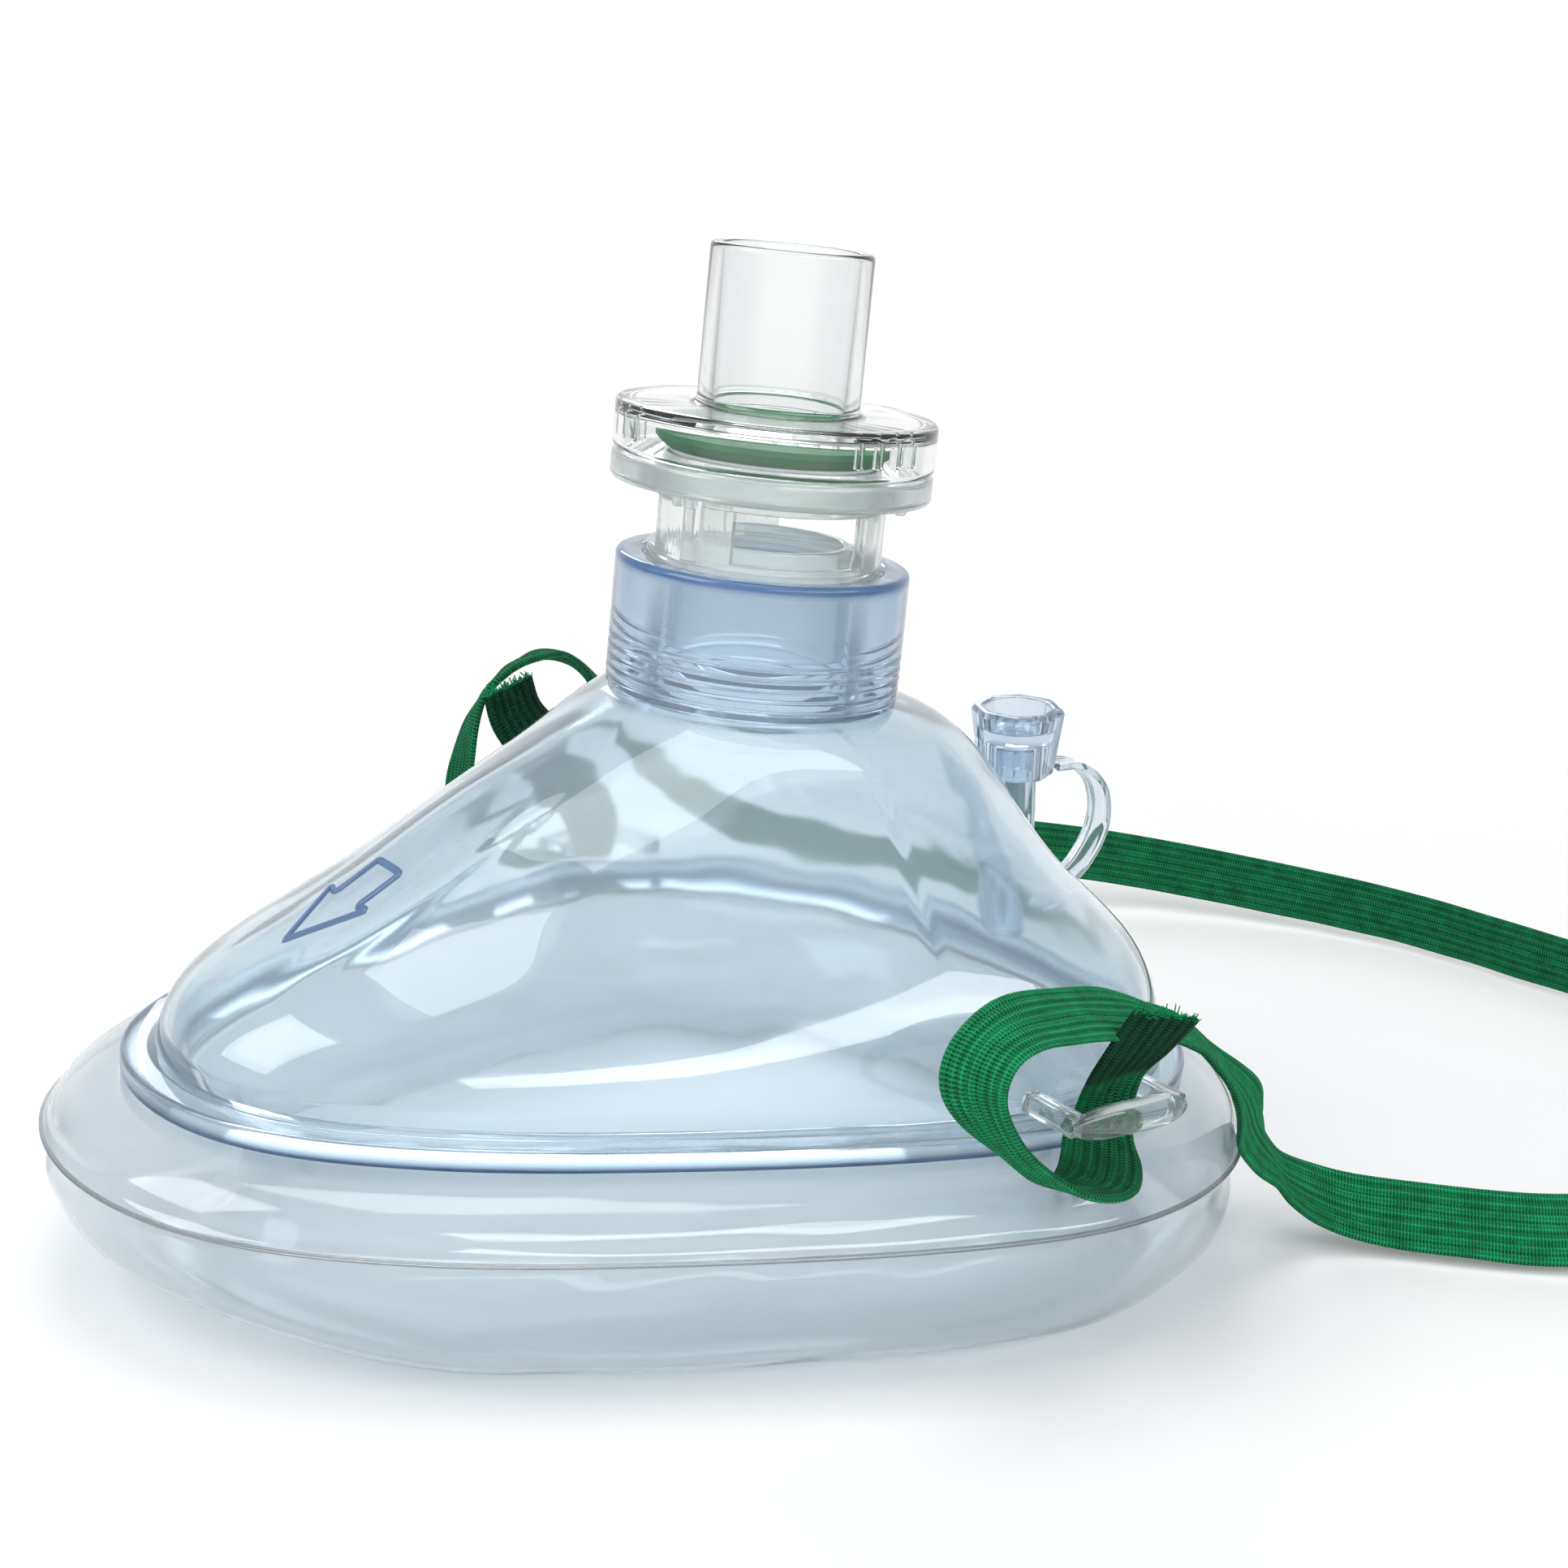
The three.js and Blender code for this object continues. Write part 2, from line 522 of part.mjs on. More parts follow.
add('mask_dome', makeDome(), CLEAR);
add('mask_flange', outlineSweep([
  [-FLANGE_WIDTH, FLANGE_BOTTOM], [-0.5, FLANGE_BOTTOM], [0, FLANGE_BOTTOM + 0.5],
  [0, FLANGE_TOP - 0.7], [-0.7, FLANGE_TOP], [-FLANGE_WIDTH, FLANGE_TOP],
]), BLUE);
add('nose_arrow', makeArrow(), BLUE);
add('neck_collar', makeCollar(), BLUE);
add('cushion_upper', makeCushionUpper(), CLEAR);
add('cushion_lower', makeCushionLower(), CLEAR);
add('strap_lug_near', makeLug(-1), CLEAR);
add('strap_lug_far', makeLug(1), CLEAR);

add('oxygen_port', makePort(), BLUE);
add('oxygen_cap', makeCap(), BLUE);
add('oxygen_cap_tether', band(TETHER_ROUTE, TETHER_ROUTE.map(() => [0, 1, 0]), 4, 0.9, 20), CLEAR);

add('valve_body', makeValveBody(), CLEAR);
add('valve_ring', makeValveRing(), CLEAR, 0.5);
add('valve_diaphragm', makeDiaphragm(), '#3e8e5e', 0.5);
add('valve_cover', makeValveCover(), CLEAR);

add('head_strap', strap(RUN, 72), GREEN, 0.9);
add('strap_loop_near', strap(NEAR_LOOP, 36), GREEN, 0.9);
add('strap_loop_far', strap(FAR_LOOP, 36), GREEN, 0.9);

export default group;
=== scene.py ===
"""A clear pocket resuscitation mask: moulded vinyl dome and collar on an air cushion, a clear one-way
valve with a green diaphragm, a capped oxygen port, and a ribbed green elastic head strap.

Shapes are made in millimetres measured from the neck axis, then placed in the frame in metres."""

import math

import bmesh
import bpy
import numpy as np
from mathutils import Matrix, Vector
from mathutils.bvhtree import BVHTree


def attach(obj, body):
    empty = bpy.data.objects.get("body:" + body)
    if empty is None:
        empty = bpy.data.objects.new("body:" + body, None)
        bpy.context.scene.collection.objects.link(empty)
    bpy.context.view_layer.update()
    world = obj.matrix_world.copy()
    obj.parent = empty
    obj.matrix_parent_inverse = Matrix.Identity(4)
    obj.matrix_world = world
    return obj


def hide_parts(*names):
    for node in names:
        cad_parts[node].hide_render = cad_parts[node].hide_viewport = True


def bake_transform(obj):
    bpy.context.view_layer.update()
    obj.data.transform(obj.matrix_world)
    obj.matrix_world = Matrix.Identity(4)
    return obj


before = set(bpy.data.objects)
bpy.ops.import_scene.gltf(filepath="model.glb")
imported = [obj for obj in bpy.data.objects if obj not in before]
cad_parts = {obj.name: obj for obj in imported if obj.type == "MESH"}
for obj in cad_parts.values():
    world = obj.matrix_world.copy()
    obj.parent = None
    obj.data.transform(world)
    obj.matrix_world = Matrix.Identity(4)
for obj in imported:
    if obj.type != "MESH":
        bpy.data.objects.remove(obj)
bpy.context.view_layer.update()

# ---------------------------------------------------------------- driving sizes, millimetres
MM = 0.001
NECK_X = 10.25                  # the neck axis, chinward of the middle of the footprint
ROUND = 384                     # points round the mask outline
TURN = 128                      # points round a turned piece

FLANGE_BOTTOM, FLANGE_TOP = 22.3, 24.8
FLANGE_WIDTH = 6.5
DOME_FOOT_IN = 3.6
DOME_WALL = 1.6
DOME_TOP = 62.0
SEAM_Z, SEAM_OUT = 16.2, 7.4
NOSE_LIFT = 6.0
COLLAR_R, COLLAR_TOP = 17.15, 77.7
COLLAR_GROOVES, GROOVE_DEPTH, GROOVE_STEP = 5, 0.22, 1.25
SOCKET_R = 11.15
RECESS_R, RECESS_FLOOR = 14.0, 76.3
TAPER_R, TAPER_BOTTOM = 10.8, 68.0
VENT_R, VENT_BOTTOM, VENT_SILL = 13.6, 76.6, 78.9
RING_R, RING_BOTTOM, RING_TOP = 18.5, 86.1, 89.1
SEAT_R, SEAT_TOP = 12.0, 89.8
COVER_TOP = 95.1
DIAPHRAGM_R = 13.6
MOUTH_R, MOUTH_BORE_R, MOUTH_TOP = 9.35, 7.75, 113.1
STRAP_WIDTH, STRAP_THICK = 9.0, 1.0
RIBS = 7                        # ribs along the strap
WEFT = 0.42                     # from one weft thread of the strap to the next
WARP = 0.56                     # from one warp thread to the next
SHARP_ANGLE = 38.0              # degrees past which an edge stays sharp


def to_frame(points):
    """Millimetres from the neck axis to metres in the row frame."""
    return (np.asarray(points, float) + (NECK_X, 0, 0)) * MM


# ---------------------------------------------------------------- camera
CAMERA_AT = (-168.75, -224.12, 127.7)
CAMERA_AZIMUTH, CAMERA_PITCH, CAMERA_ROLL = -38.0, 15.3, 5.8
CAMERA_LENS = 56.3


def make_camera():
    azimuth, pitch, roll = (math.radians(a) for a in (CAMERA_AZIMUTH, CAMERA_PITCH, CAMERA_ROLL))
    level = Vector((-math.sin(azimuth), math.cos(azimuth), 0))
    right = Vector((math.cos(azimuth), math.sin(azimuth), 0))
    ahead = level * math.cos(pitch) - Vector((0, 0, math.sin(pitch)))
    up = level * math.sin(pitch) + Vector((0, 0, math.cos(pitch)))
    right, up = right * math.cos(roll) + up * math.sin(roll), up * math.cos(roll) - right * math.sin(roll)
    data = bpy.data.cameras.new("camera")
    data.lens, data.sensor_width = CAMERA_LENS, 36.0
    data.clip_start, data.clip_end = 0.01, 50.0
    camera = bpy.data.objects.new("camera", data)
    turn = Matrix((right, up, -ahead)).transposed().to_4x4()
    camera.matrix_world = Matrix.Translation(Vector(to_frame(CAMERA_AT))) @ turn
    bpy.context.collection.objects.link(camera)
    bpy.context.scene.camera = camera


make_camera()


# ---------------------------------------------------------------- curves
def catmull(points, per_span=24, closed=False):
    """Points on a centripetal Catmull-Rom curve, as part.mjs draws it."""
    p = np.asarray(points, float)
    count = len(p)
    out = []
    for i in range(count if closed else count - 1):
        if closed:
            a, b, c, d = (p[(i + k) % count] for k in (-1, 0, 1, 2))
        else:
            b, c = p[i], p[i + 1]
            a = p[i - 1] if i > 0 else 2 * b - c
            d = p[i + 2] if i + 2 < count else 2 * c - b
        s0, s1, s2 = (max(np.linalg.norm(v) ** 0.5, 1e-4) for v in (b - a, c - b, d - c))
        m1 = ((b - a) / s0 - (c - a) / (s0 + s1) + (c - b) / s1) * s1
        m2 = ((c - b) / s1 - (d - b) / (s1 + s2) + (d - c) / s2) * s1
        t = (np.arange(per_span) / per_span)[:, None]
        out.append(b + m1 * t + (3 * (c - b) - 2 * m1 - m2) * t ** 2 + (2 * (b - c) + m1 + m2) * t ** 3)
    if not closed:
        out.append(p[-1:])
    return np.vstack(out)


def along(points):
    """Distance from the start at each point."""
    return np.concatenate(([0], np.cumsum(np.linalg.norm(np.diff(points, axis=0), axis=1))))


def unit(vectors):
    """The same vectors, each of length 1."""
    return vectors / np.linalg.norm(vectors, axis=1)[:, None]


def evenly(points, count, extra=None):
    """The same line at evenly spaced points, and any extra columns read off at the same places."""
    points = np.asarray(points, float)
    s = along(points)
    at = np.linspace(0, s[-1], count)
    table = points if extra is None else np.hstack([points, extra])
    return np.stack([np.interp(at, s, column) for column in table.T], axis=1)


def soften(values, sigma):
    """Gaussian smoothing down the first axis, with both ends held."""
    reach = int(3 * sigma) + 1
    kernel = np.exp(-0.5 * (np.arange(-reach, reach + 1) / sigma) ** 2)
    kernel /= kernel.sum()
    head = 2 * values[:1] - values[reach:0:-1]
    tail = 2 * values[-1:] - values[-2:-reach - 2:-1]
    padded = np.concatenate([head, values, tail])
    flat = padded.reshape(len(padded), -1)
    done = np.stack([np.convolve(column, kernel, "valid") for column in flat.T], axis=1)
    return done.reshape(values.shape)


def step(low, high, value):
    """A smooth rise from 0 at low to 1 at high."""
    t = np.clip((value - low) / (high - low), 0, 1)
    return t * t * (3 - 2 * t)


def rounded(profile, radius, arc=4):
    """An open line of (a, b) points with its corners rounded, each by no more than it has room for."""
    p = np.asarray(profile, float)
    out = [p[0]]
    for before, corner, after in zip(p[:-2], p[1:-1], p[2:]):
        u, v = before - corner, after - corner
        room = min(np.linalg.norm(u), np.linalg.norm(v)) * 0.45
        u, v = u / np.linalg.norm(u), v / np.linalg.norm(v)
        half = math.acos(float(np.clip(u @ v, -0.9999, 0.9999))) / 2
        cut = min(radius / math.tan(half), room)
        a, b = corner + u * cut, corner + v * cut
        for t in np.linspace(0, 1, arc + 1):
            out.append((1 - t) ** 2 * a + 2 * t * (1 - t) * corner + t * t * b)
    out.append(p[-1])
    return np.array(out)


def rounded_ring(profile, radius, arc=4):
    """The same for a closed section, whose last point leads back to the first."""
    p = [np.asarray(x, float) for x in profile]
    middle = (p[0] + p[-1]) / 2
    return rounded([middle, *p, middle], radius, arc)[:-1]


# ---------------------------------------------------------------- meshes
def new_object(name, points, faces, material, smooth_angle=SHARP_ANGLE):
    mesh = bpy.data.meshes.new(name)
    mesh.from_pydata(to_frame(points).tolist(), [], faces)
    mesh.update()
    mesh.shade_smooth()
    mesh.set_sharp_from_angle(angle=math.radians(smooth_angle))
    mesh.materials.append(material)
    obj = bpy.data.objects.new(name, mesh)
    bpy.context.collection.objects.link(obj)
    return obj


def grid_faces(rows, columns, close_rows):
    """Faces over rows of points, each row a closed ring."""
    faces = []
    for j in range(rows if close_rows else rows - 1):
        for i in range(columns):
            a, b = j * columns + i, j * columns + (i + 1) % columns
            c, d = (j + 1) % rows * columns + (i + 1) % columns, (j + 1) % rows * columns + i
            faces.append((a, b, c, d))
    return faces


def loft(rings):
    """(points, faces) of a closed skin over rings that lead back to the first, as a tube does."""
    rings = np.asarray(rings, float)
    return rings.reshape(-1, 3), grid_faces(len(rings), rings.shape[1], True)


def turned(profile, steps=TURN, place=Matrix.Identity(4)):
    """(points, faces) of a section of (radius, height) turned about the axis. A radius of 0 closes it."""
    profile = np.asarray(profile, float)
    angles = np.linspace(0, 2 * math.pi, steps, endpoint=False)
    closed = profile[0, 0] > 1e-6
    body = profile if closed else profile[1:-1]
    points = [[r * math.cos(a), r * math.sin(a), z] for r, z in body for a in angles]
    faces = grid_faces(len(body), steps, closed)
    if not closed:
        first, last = len(points), len(points) + 1
        points += [[0, 0, profile[0, 1]], [0, 0, profile[-1, 1]]]
        end = (len(body) - 1) * steps
        faces += [(first, (i + 1) % steps, i) for i in range(steps)]
        faces += [(last, end + i, end + (i + 1) % steps) for i in range(steps)]
    moved = np.array([place @ Vector(p) for p in points])
    return moved, faces


def joined(*parts):
    """One (points, faces) from several."""
    points, faces, start = [], [], 0
    for some_points, some_faces in parts:
        points.append(np.asarray(some_points, float))
        faces += [tuple(start + k for k in face) for face in some_faces]
        start += len(some_points)
    return np.vstack(points), faces


def facing_out(obj):
    """Turns every face of a closed mesh outward."""
    work = bmesh.new()
    work.from_mesh(obj.data)
    bmesh.ops.recalc_face_normals(work, faces=work.faces)
    work.to_mesh(obj.data)
    work.free()
    return obj


def bevelled_box(size, centre, turn, bevel):
    """(points, faces) of a box with rounded edges, turned about the neck axis."""
    work = bmesh.new()
    bmesh.ops.create_cube(work, size=1.0)
    bmesh.ops.scale(work, vec=size, verts=work.verts)
    bmesh.ops.bevel(work, geom=list(work.edges), offset=bevel, segments=3, profile=0.5, affect="EDGES")
    bmesh.ops.translate(work, vec=centre, verts=work.verts)
    bmesh.ops.rotate(work, matrix=Matrix.Rotation(turn, 3, "Z"), verts=work.verts)
    points = np.array([v.co for v in work.verts])
    faces = [tuple(v.index for v in f.verts) for f in work.faces]
    work.free()
    return points, faces


def united(obj, *others):
    """obj with other closed (points, faces) shapes merged into it, as one skin."""
    for k, shape in enumerate(others):
        tool = facing_out(new_object(f"tool_{k}", *shape, obj.data.materials[0]))
        merge = obj.modifiers.new("merge", "BOOLEAN")
        merge.operation, merge.solver, merge.object = "UNION", "EXACT", tool
        bpy.context.view_layer.update()
        mesh = bpy.data.meshes.new_from_object(obj.evaluated_get(bpy.context.evaluated_depsgraph_get()))
        obj.modifiers.clear()
        obj.data = mesh
        bpy.data.objects.remove(tool)
    obj.data.shade_smooth()
    obj.data.set_sharp_from_angle(angle=math.radians(SHARP_ANGLE))
    return obj


def put(obj, nodes, body="mask"):
    """Seats a finished piece: it rides on its body and stands for its CAD nodes."""
    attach(obj, body)
    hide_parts(*nodes)
    return obj


# ---------------------------------------------------------------- materials
class Nodes:
    """A small help for building the node tree of a new material, or of a new world."""

    def __init__(self, name, world=False):
        self.owner = (bpy.data.worlds if world else bpy.data.materials).new(name)
        self.owner.use_nodes = True
        self.tree = self.owner.node_tree
        self.tree.nodes.clear()
        self.output = self.add("OutputWorld" if world else "OutputMaterial")

    def feed(self, socket, value):
        """Links the socket to another node's output, or sets it to a plain value."""
        if isinstance(value, bpy.types.NodeSocket):
            self.tree.links.new(value, socket)
        else:
            socket.default_value = value

    def add(self, kind, **values):
        """A new node. A value called in_Some_Name goes to its input "Some Name"."""
        node = self.tree.nodes.new("ShaderNode" + kind)
        for key, value in values.items():
            if key.startswith("in_"):
                self.feed(node.inputs[key[3:].replace("_", " ")], value)
            else:
                setattr(node, key, value)
        return node

    def finish(self, shader):
        self.feed(self.output.inputs["Surface"], shader)
        return self.owner

    def noise(self, scale, detail):
        place = self.add("TexCoord").outputs["Object"]
        return self.add("TexNoise", in_Scale=scale, in_Detail=detail, in_Vector=place).outputs["Fac"]

    def point_mark(self, name):
        return self.add("Attribute", attribute_name=name).outputs["Fac"]

    def spread(self, source, low, high, start=0.3, end=0.7):
        """From low to high as source goes from start to end."""
        return self.add("MapRange", in_Value=source, in_From_Min=start, in_From_Max=end,
                        in_To_Min=low, in_To_Max=high).outputs["Result"]

    def ramp(self, source, low_colour, high_colour, low=0.0, high=1.0):
        """From one colour to the other as source goes from low to high."""
        node = self.add("ValToRGB", in_Fac=source)
        for element, place, colour in zip(node.color_ramp.elements, (low, high), (low_colour, high_colour)):
            element.position = place
            element.color = (*colour, 1)
        return node.outputs["Color"]

    def bump(self, height, strength, distance):
        node = self.add("Bump", in_Height=height, in_Strength=strength, in_Distance=distance)
        return node.outputs["Normal"]

    def mixed(self, share, first, second):
        """The first shader, with the second over it as far as share says."""
        node = self.add("MixShader")
        for socket, value in zip(node.inputs, (share, first, second)):
            self.feed(socket, value)
        return node.outputs["Shader"]

    def math(self, operation, a, b=None):
        node = self.add("Math", operation=operation)
        for socket, value in zip(node.inputs, (a, b)):
            if value is not None:
                self.feed(socket, value)
        return node.outputs[0]


EDGE_SHADE_CLOUD = 0.55               # painted shade: how much less clear the marked edge is made, for the dark line a thick corner shows
GRAIN_SCALE = 900.0


def clear_plastic(name, tint, density, shadow, *, milk, clear, ior=1.5, rough=(0.0, 0.03), wave=0.0,
                  wave_scale=60.0, grain=0.0, inside=None, edge=None):
    """Clear moulded plastic: glass tinted by its depth, with faint waves, uneven gloss and, where clear
    is under 1, a little milkiness. Points marked "inside" are duller and wavier by the two amounts
    in inside. Points marked "edge" get painted shade: they are cloudier and take the dark colour of edge,
    a painted line for the shade that a thick clear corner shows.
    Lamps shine through it with a pale tint."""
    n = Nodes(name)
    surface = n.add("BsdfPrincipled", in_Roughness=0.02, in_IOR=ior, in_Base_Color=(*milk, 1),
                    in_Transmission_Weight=clear)
    dull = n.spread(n.noise(45.0, 4.0), *rough)
    swell = wave
    if inside:
        mark = n.point_mark("inside")
        dull = n.math("ADD", dull, n.math("MULTIPLY", mark, inside[0]))
        swell = n.math("ADD", n.math("MULTIPLY", mark, inside[1]), wave)
    # painted shade: the marked edge takes the dark edge colour and loses some clearness
    if edge:
        mark = n.point_mark("edge")
        body = n.add("MixRGB", in_Fac=mark, in_Color1=(*milk, 1), in_Color2=(*edge, 1))
        n.feed(surface.inputs["Base Color"], body.outputs["Color"])
        clearness = n.math("SUBTRACT", clear, n.math("MULTIPLY", mark, EDGE_SHADE_CLOUD))
        n.feed(surface.inputs["Transmission Weight"], clearness)
    n.feed(surface.inputs["Roughness"], dull)
    height = n.math("MULTIPLY", n.noise(wave_scale, 2.0), swell)
    if grain:
        height = n.math("ADD", height, n.math("MULTIPLY", n.noise(GRAIN_SCALE, 3.0), grain))
    n.feed(surface.inputs["Normal"], n.bump(height, 1.0, 0.001))
    volume = n.add("VolumeAbsorption", in_Density=density, in_Color=(*tint, 1))
    n.feed(n.output.inputs["Volume"], volume.outputs["Volume"])
    lamp = n.add("BsdfTransparent", in_Color=(*shadow, 1))
    to_lamp = n.add("LightPath").outputs["Is Shadow Ray"]
    return n.finish(n.mixed(to_lamp, surface.outputs["BSDF"], lamp.outputs["BSDF"]))


# The edge colours of clear_vinyl and blue_vinyl are painted shade: dark lines at the flange corner and the
# collar rim.
VINYL = clear_plastic(
    "clear_vinyl", (0.38, 0.58, 0.71), 72.0, (0.84, 0.87, 0.89), rough=(0.0, 0.04), wave=0.18,
    wave_scale=38.0, milk=(0.84, 0.90, 0.93), clear=0.92, inside=(0.06, 0.7), edge=(0.04, 0.08, 0.16))
BLUE_VINYL = clear_plastic(
    "blue_vinyl", (0.45, 0.61, 0.74), 60.0, (0.80, 0.85, 0.90), rough=(0.0, 0.05), wave=0.12, wave_scale=50.0,
    milk=(0.78, 0.84, 0.90), clear=0.93, edge=(0.09, 0.18, 0.36))
FILM = clear_plastic(
    "cushion_film", (0.61, 0.69, 0.735), 135.0, (0.72, 0.745, 0.755), ior=1.45, rough=(0.02, 0.10),
    wave=0.6, wave_scale=26.0, milk=(0.82, 0.85, 0.87), clear=0.90)
RIGID = clear_plastic(
    "clear_rigid", (0.72, 0.76, 0.76), 30.0, (0.92, 0.925, 0.925), wave=0.03,
    milk=(0.95, 0.96, 0.96), clear=0.993)
VALVE_WALL = clear_plastic(
    "clear_valve_wall", (0.72, 0.76, 0.75), 50.0, (0.9, 0.91, 0.905), rough=(0.02, 0.08), wave=0.05,
    milk=(0.86, 0.88, 0.87), clear=0.84)
LUG_PLASTIC = clear_plastic(
    "clear_lug", (0.62, 0.70, 0.70), 80.0, (0.86, 0.88, 0.88), rough=(0.0, 0.05), wave=0.14, wave_scale=160.0,
    milk=(0.78, 0.83, 0.82), clear=0.93)
FROSTED = clear_plastic(
    "frosted_rigid", (0.68, 0.73, 0.73), 80.0, (0.86, 0.87, 0.865), ior=1.48, rough=(0.08, 0.22), grain=0.03,
    milk=(0.82, 0.85, 0.85), clear=0.9)
MARK = clear_plastic(
    "moulded_mark", (0.18, 0.34, 0.58), 2400.0, (0.7, 0.75, 0.85), rough=(0.02, 0.08),
    milk=(0.20, 0.32, 0.52), clear=0.55)


def silicone():
    n = Nodes("green_silicone")
    surface = n.add(
        "BsdfPrincipled", in_IOR=1.43,
        in_Base_Color=n.ramp(n.noise(240.0, 4.0), (0.005, 0.082, 0.026), (0.012, 0.145, 0.050)),
        in_Roughness=n.spread(n.noise(500.0, 3.0), 0.45, 0.65),
        in_Subsurface_Weight=0.15, in_Subsurface_Radius=(0.0004, 0.0016, 0.0007),
        in_Normal=n.bump(n.noise(1800.0, 2.0), 0.25, 0.0002))
    return n.finish(surface.outputs["BSDF"])


def webbing():
    """Knitted elastic: ribs run along it and fine weft threads cross it. The grooves between ribs get painted
    shade and the crests a painted lighter tone; the back face gets painted shade, and the cut tails are
    darker.
    """
    n = Nodes("green_elastic")
    place = n.add("Attribute", attribute_name="band").outputs["Vector"]
    across, length, shade = n.add("SeparateXYZ", in_Vector=place).outputs
    weft = n.math("SINE", n.math("MULTIPLY", length, 2 * math.pi / WEFT))
    warp = n.math("SINE", n.math("MULTIPLY", across, 2 * math.pi / WARP))
    knit = n.math("MULTIPLY", weft, n.math("ADD", n.math("MULTIPLY", warp, 0.5), 0.75))
    # painted shade: the colour dips along the grooves between ribs and is lighter on their crests
    rib = n.math("COSINE", n.math("MULTIPLY", across, 2 * math.pi * RIBS / STRAP_WIDTH))
    patchy = n.noise(420.0, 4.0)
    value = n.math("ADD", n.math("MULTIPLY", knit, 0.34), n.math("MULTIPLY", patchy, 0.8))
    value = n.math("ADD", value, n.math("MULTIPLY", rib, 0.09))
    green = n.ramp(value, (0.002, 0.125, 0.040), (0.014, 0.480, 0.185), 0.15, 0.75)
    # painted shade: the shade mark darkens the back face; it also darkens the cut tails
    dark = n.add("MixRGB", blend_type="MULTIPLY", in_Fac=shade, in_Color1=green,
                 in_Color2=(0.22, 0.20, 0.22, 1))
    height = n.math("ADD", n.math("MULTIPLY", knit, 0.6), n.math("MULTIPLY", patchy, 0.5))
    surface = n.add(
        "BsdfPrincipled", in_IOR=1.45, in_Base_Color=dark.outputs["Color"],
        in_Sheen_Weight=0.06, in_Sheen_Roughness=0.4, in_Sheen_Tint=(0.5, 0.95, 0.65, 1),
        in_Specular_IOR_Level=0.12, in_Roughness=n.spread(patchy, 0.66, 0.9),
        in_Normal=n.bump(height, 1.0, 0.0005))
    return n.finish(surface.outputs["BSDF"])


SILICONE = silicone()
WEBBING = webbing()

# ---------------------------------------------------------------- head strap
# One elastic band. Each route point is followed by the across direction of the band there.
NEAR_LOOP = [
    ((12.5, -60.3, 41.1), (0.95, -0.1, -0.3)), ((12.2, -57.4, 36.1), (0.97, 0, -0.2)),
    ((13.2, -53.2, 30), (1, 0, 0)), ((12.6, -53.4, 25.4), (1, 0, 0)), ((9.8, -56.8, 23.4), (0.97, -0.2, 0)),
    ((5.8, -59.8, 23), (0.7, -0.72, 0)), ((1, -60.4, 23.8), (0.1, -1, 0.1)),
    ((-3.6, -59.2, 26.8), (0, -1, 0.1)), ((-8, -57.8, 30.8), (0.05, -1, 0.1)),
    ((-10.1, -56.6, 35), (0.15, -1, 0.1)), ((-8.9, -56.3, 38.8), (0.15, -1, 0)),
    ((-4.8, -56, 40.9), (0.05, -1, -0.2)), ((1.8, -55.2, 40.8), (-0.1, -1, -0.3)),
    ((10.3, -53.7, 39.3), (-0.2, -1, -0.3)), ((17.7, -52.7, 37.5), (-0.25, -1, -0.2)),
    ((21.2, -52.8, 36.1), (-0.3, -1, -0.15)),
]
RUN = [
    ((21.7, -52.8, 35.9), (0.3, 1, 0.15)), ((24.9, -52.9, 34.5), (0.5, 0.85, 0)),
    ((30, -53.9, 29.9), (0.74, 0.57, -0.22)), ((35, -53.4, 24.9), (0.86, 0.42, -0.32)),
    ((41, -50.8, 19.1), (0.84, 0.45, -0.25)), ((47.7, -47.9, 13.5), (0.7, 0.7, -0.05)),
    ((53.6, -46.4, 8.7), (0.65, 0.7, 0.2)), ((58.9, -47.5, 6), (0.5, 0.6, 0.5)),
    ((63, -50.2, 4.8), (0.4, 0.6, 0.65)), ((72.8, -58.4, 4.4), (0.38, 0.55, 0.75)),
    ((83, -66.1, 4.6), (0.3, 0.5, 0.8)), ((118, -76, 5), (0, 0.3, 1)), ((150, -70, 5.2), (0, 0, 1)),
    ((169, -48, 5.2), (0, 0, 1)), ((175, -20, 5.2), (0, 0, 1)), ((170.5, 0, 5.2), (0, 0, 1)),
    ((163.5, 26, 5.4), (0, 0.1, 1)), ((151, 44.6, 6.2), (0, 0.2, 1)), ((129, 63, 8.5), (0, 0.3, 1)),
    ((95, 73, 13), (0, 0.4, 1)), ((55, 72, 23), (0, 0.5, 1)), ((30.8, 66.1, 36.9), (0.3, 0.8, 0.5)),
    ((21.2, 63.2, 44.4), (0.5, 0.83, 0.05)), ((16, 62.8, 49), (0.5, 0.83, -0.17)),
    ((10.8, 61.6, 51), (0.5, 0.83, -0.19)), ((6.8, 60.4, 50.9), (0.5, 0.83, -0.2)),
    ((4, 59.6, 50.3), (0.5, 0.83, -0.2)), ((2.3, 59.2, 49.5), (0.5, 0.83, -0.2)),
    ((1.3, 59, 48.9), (0.5, 0.83, -0.2)),
]
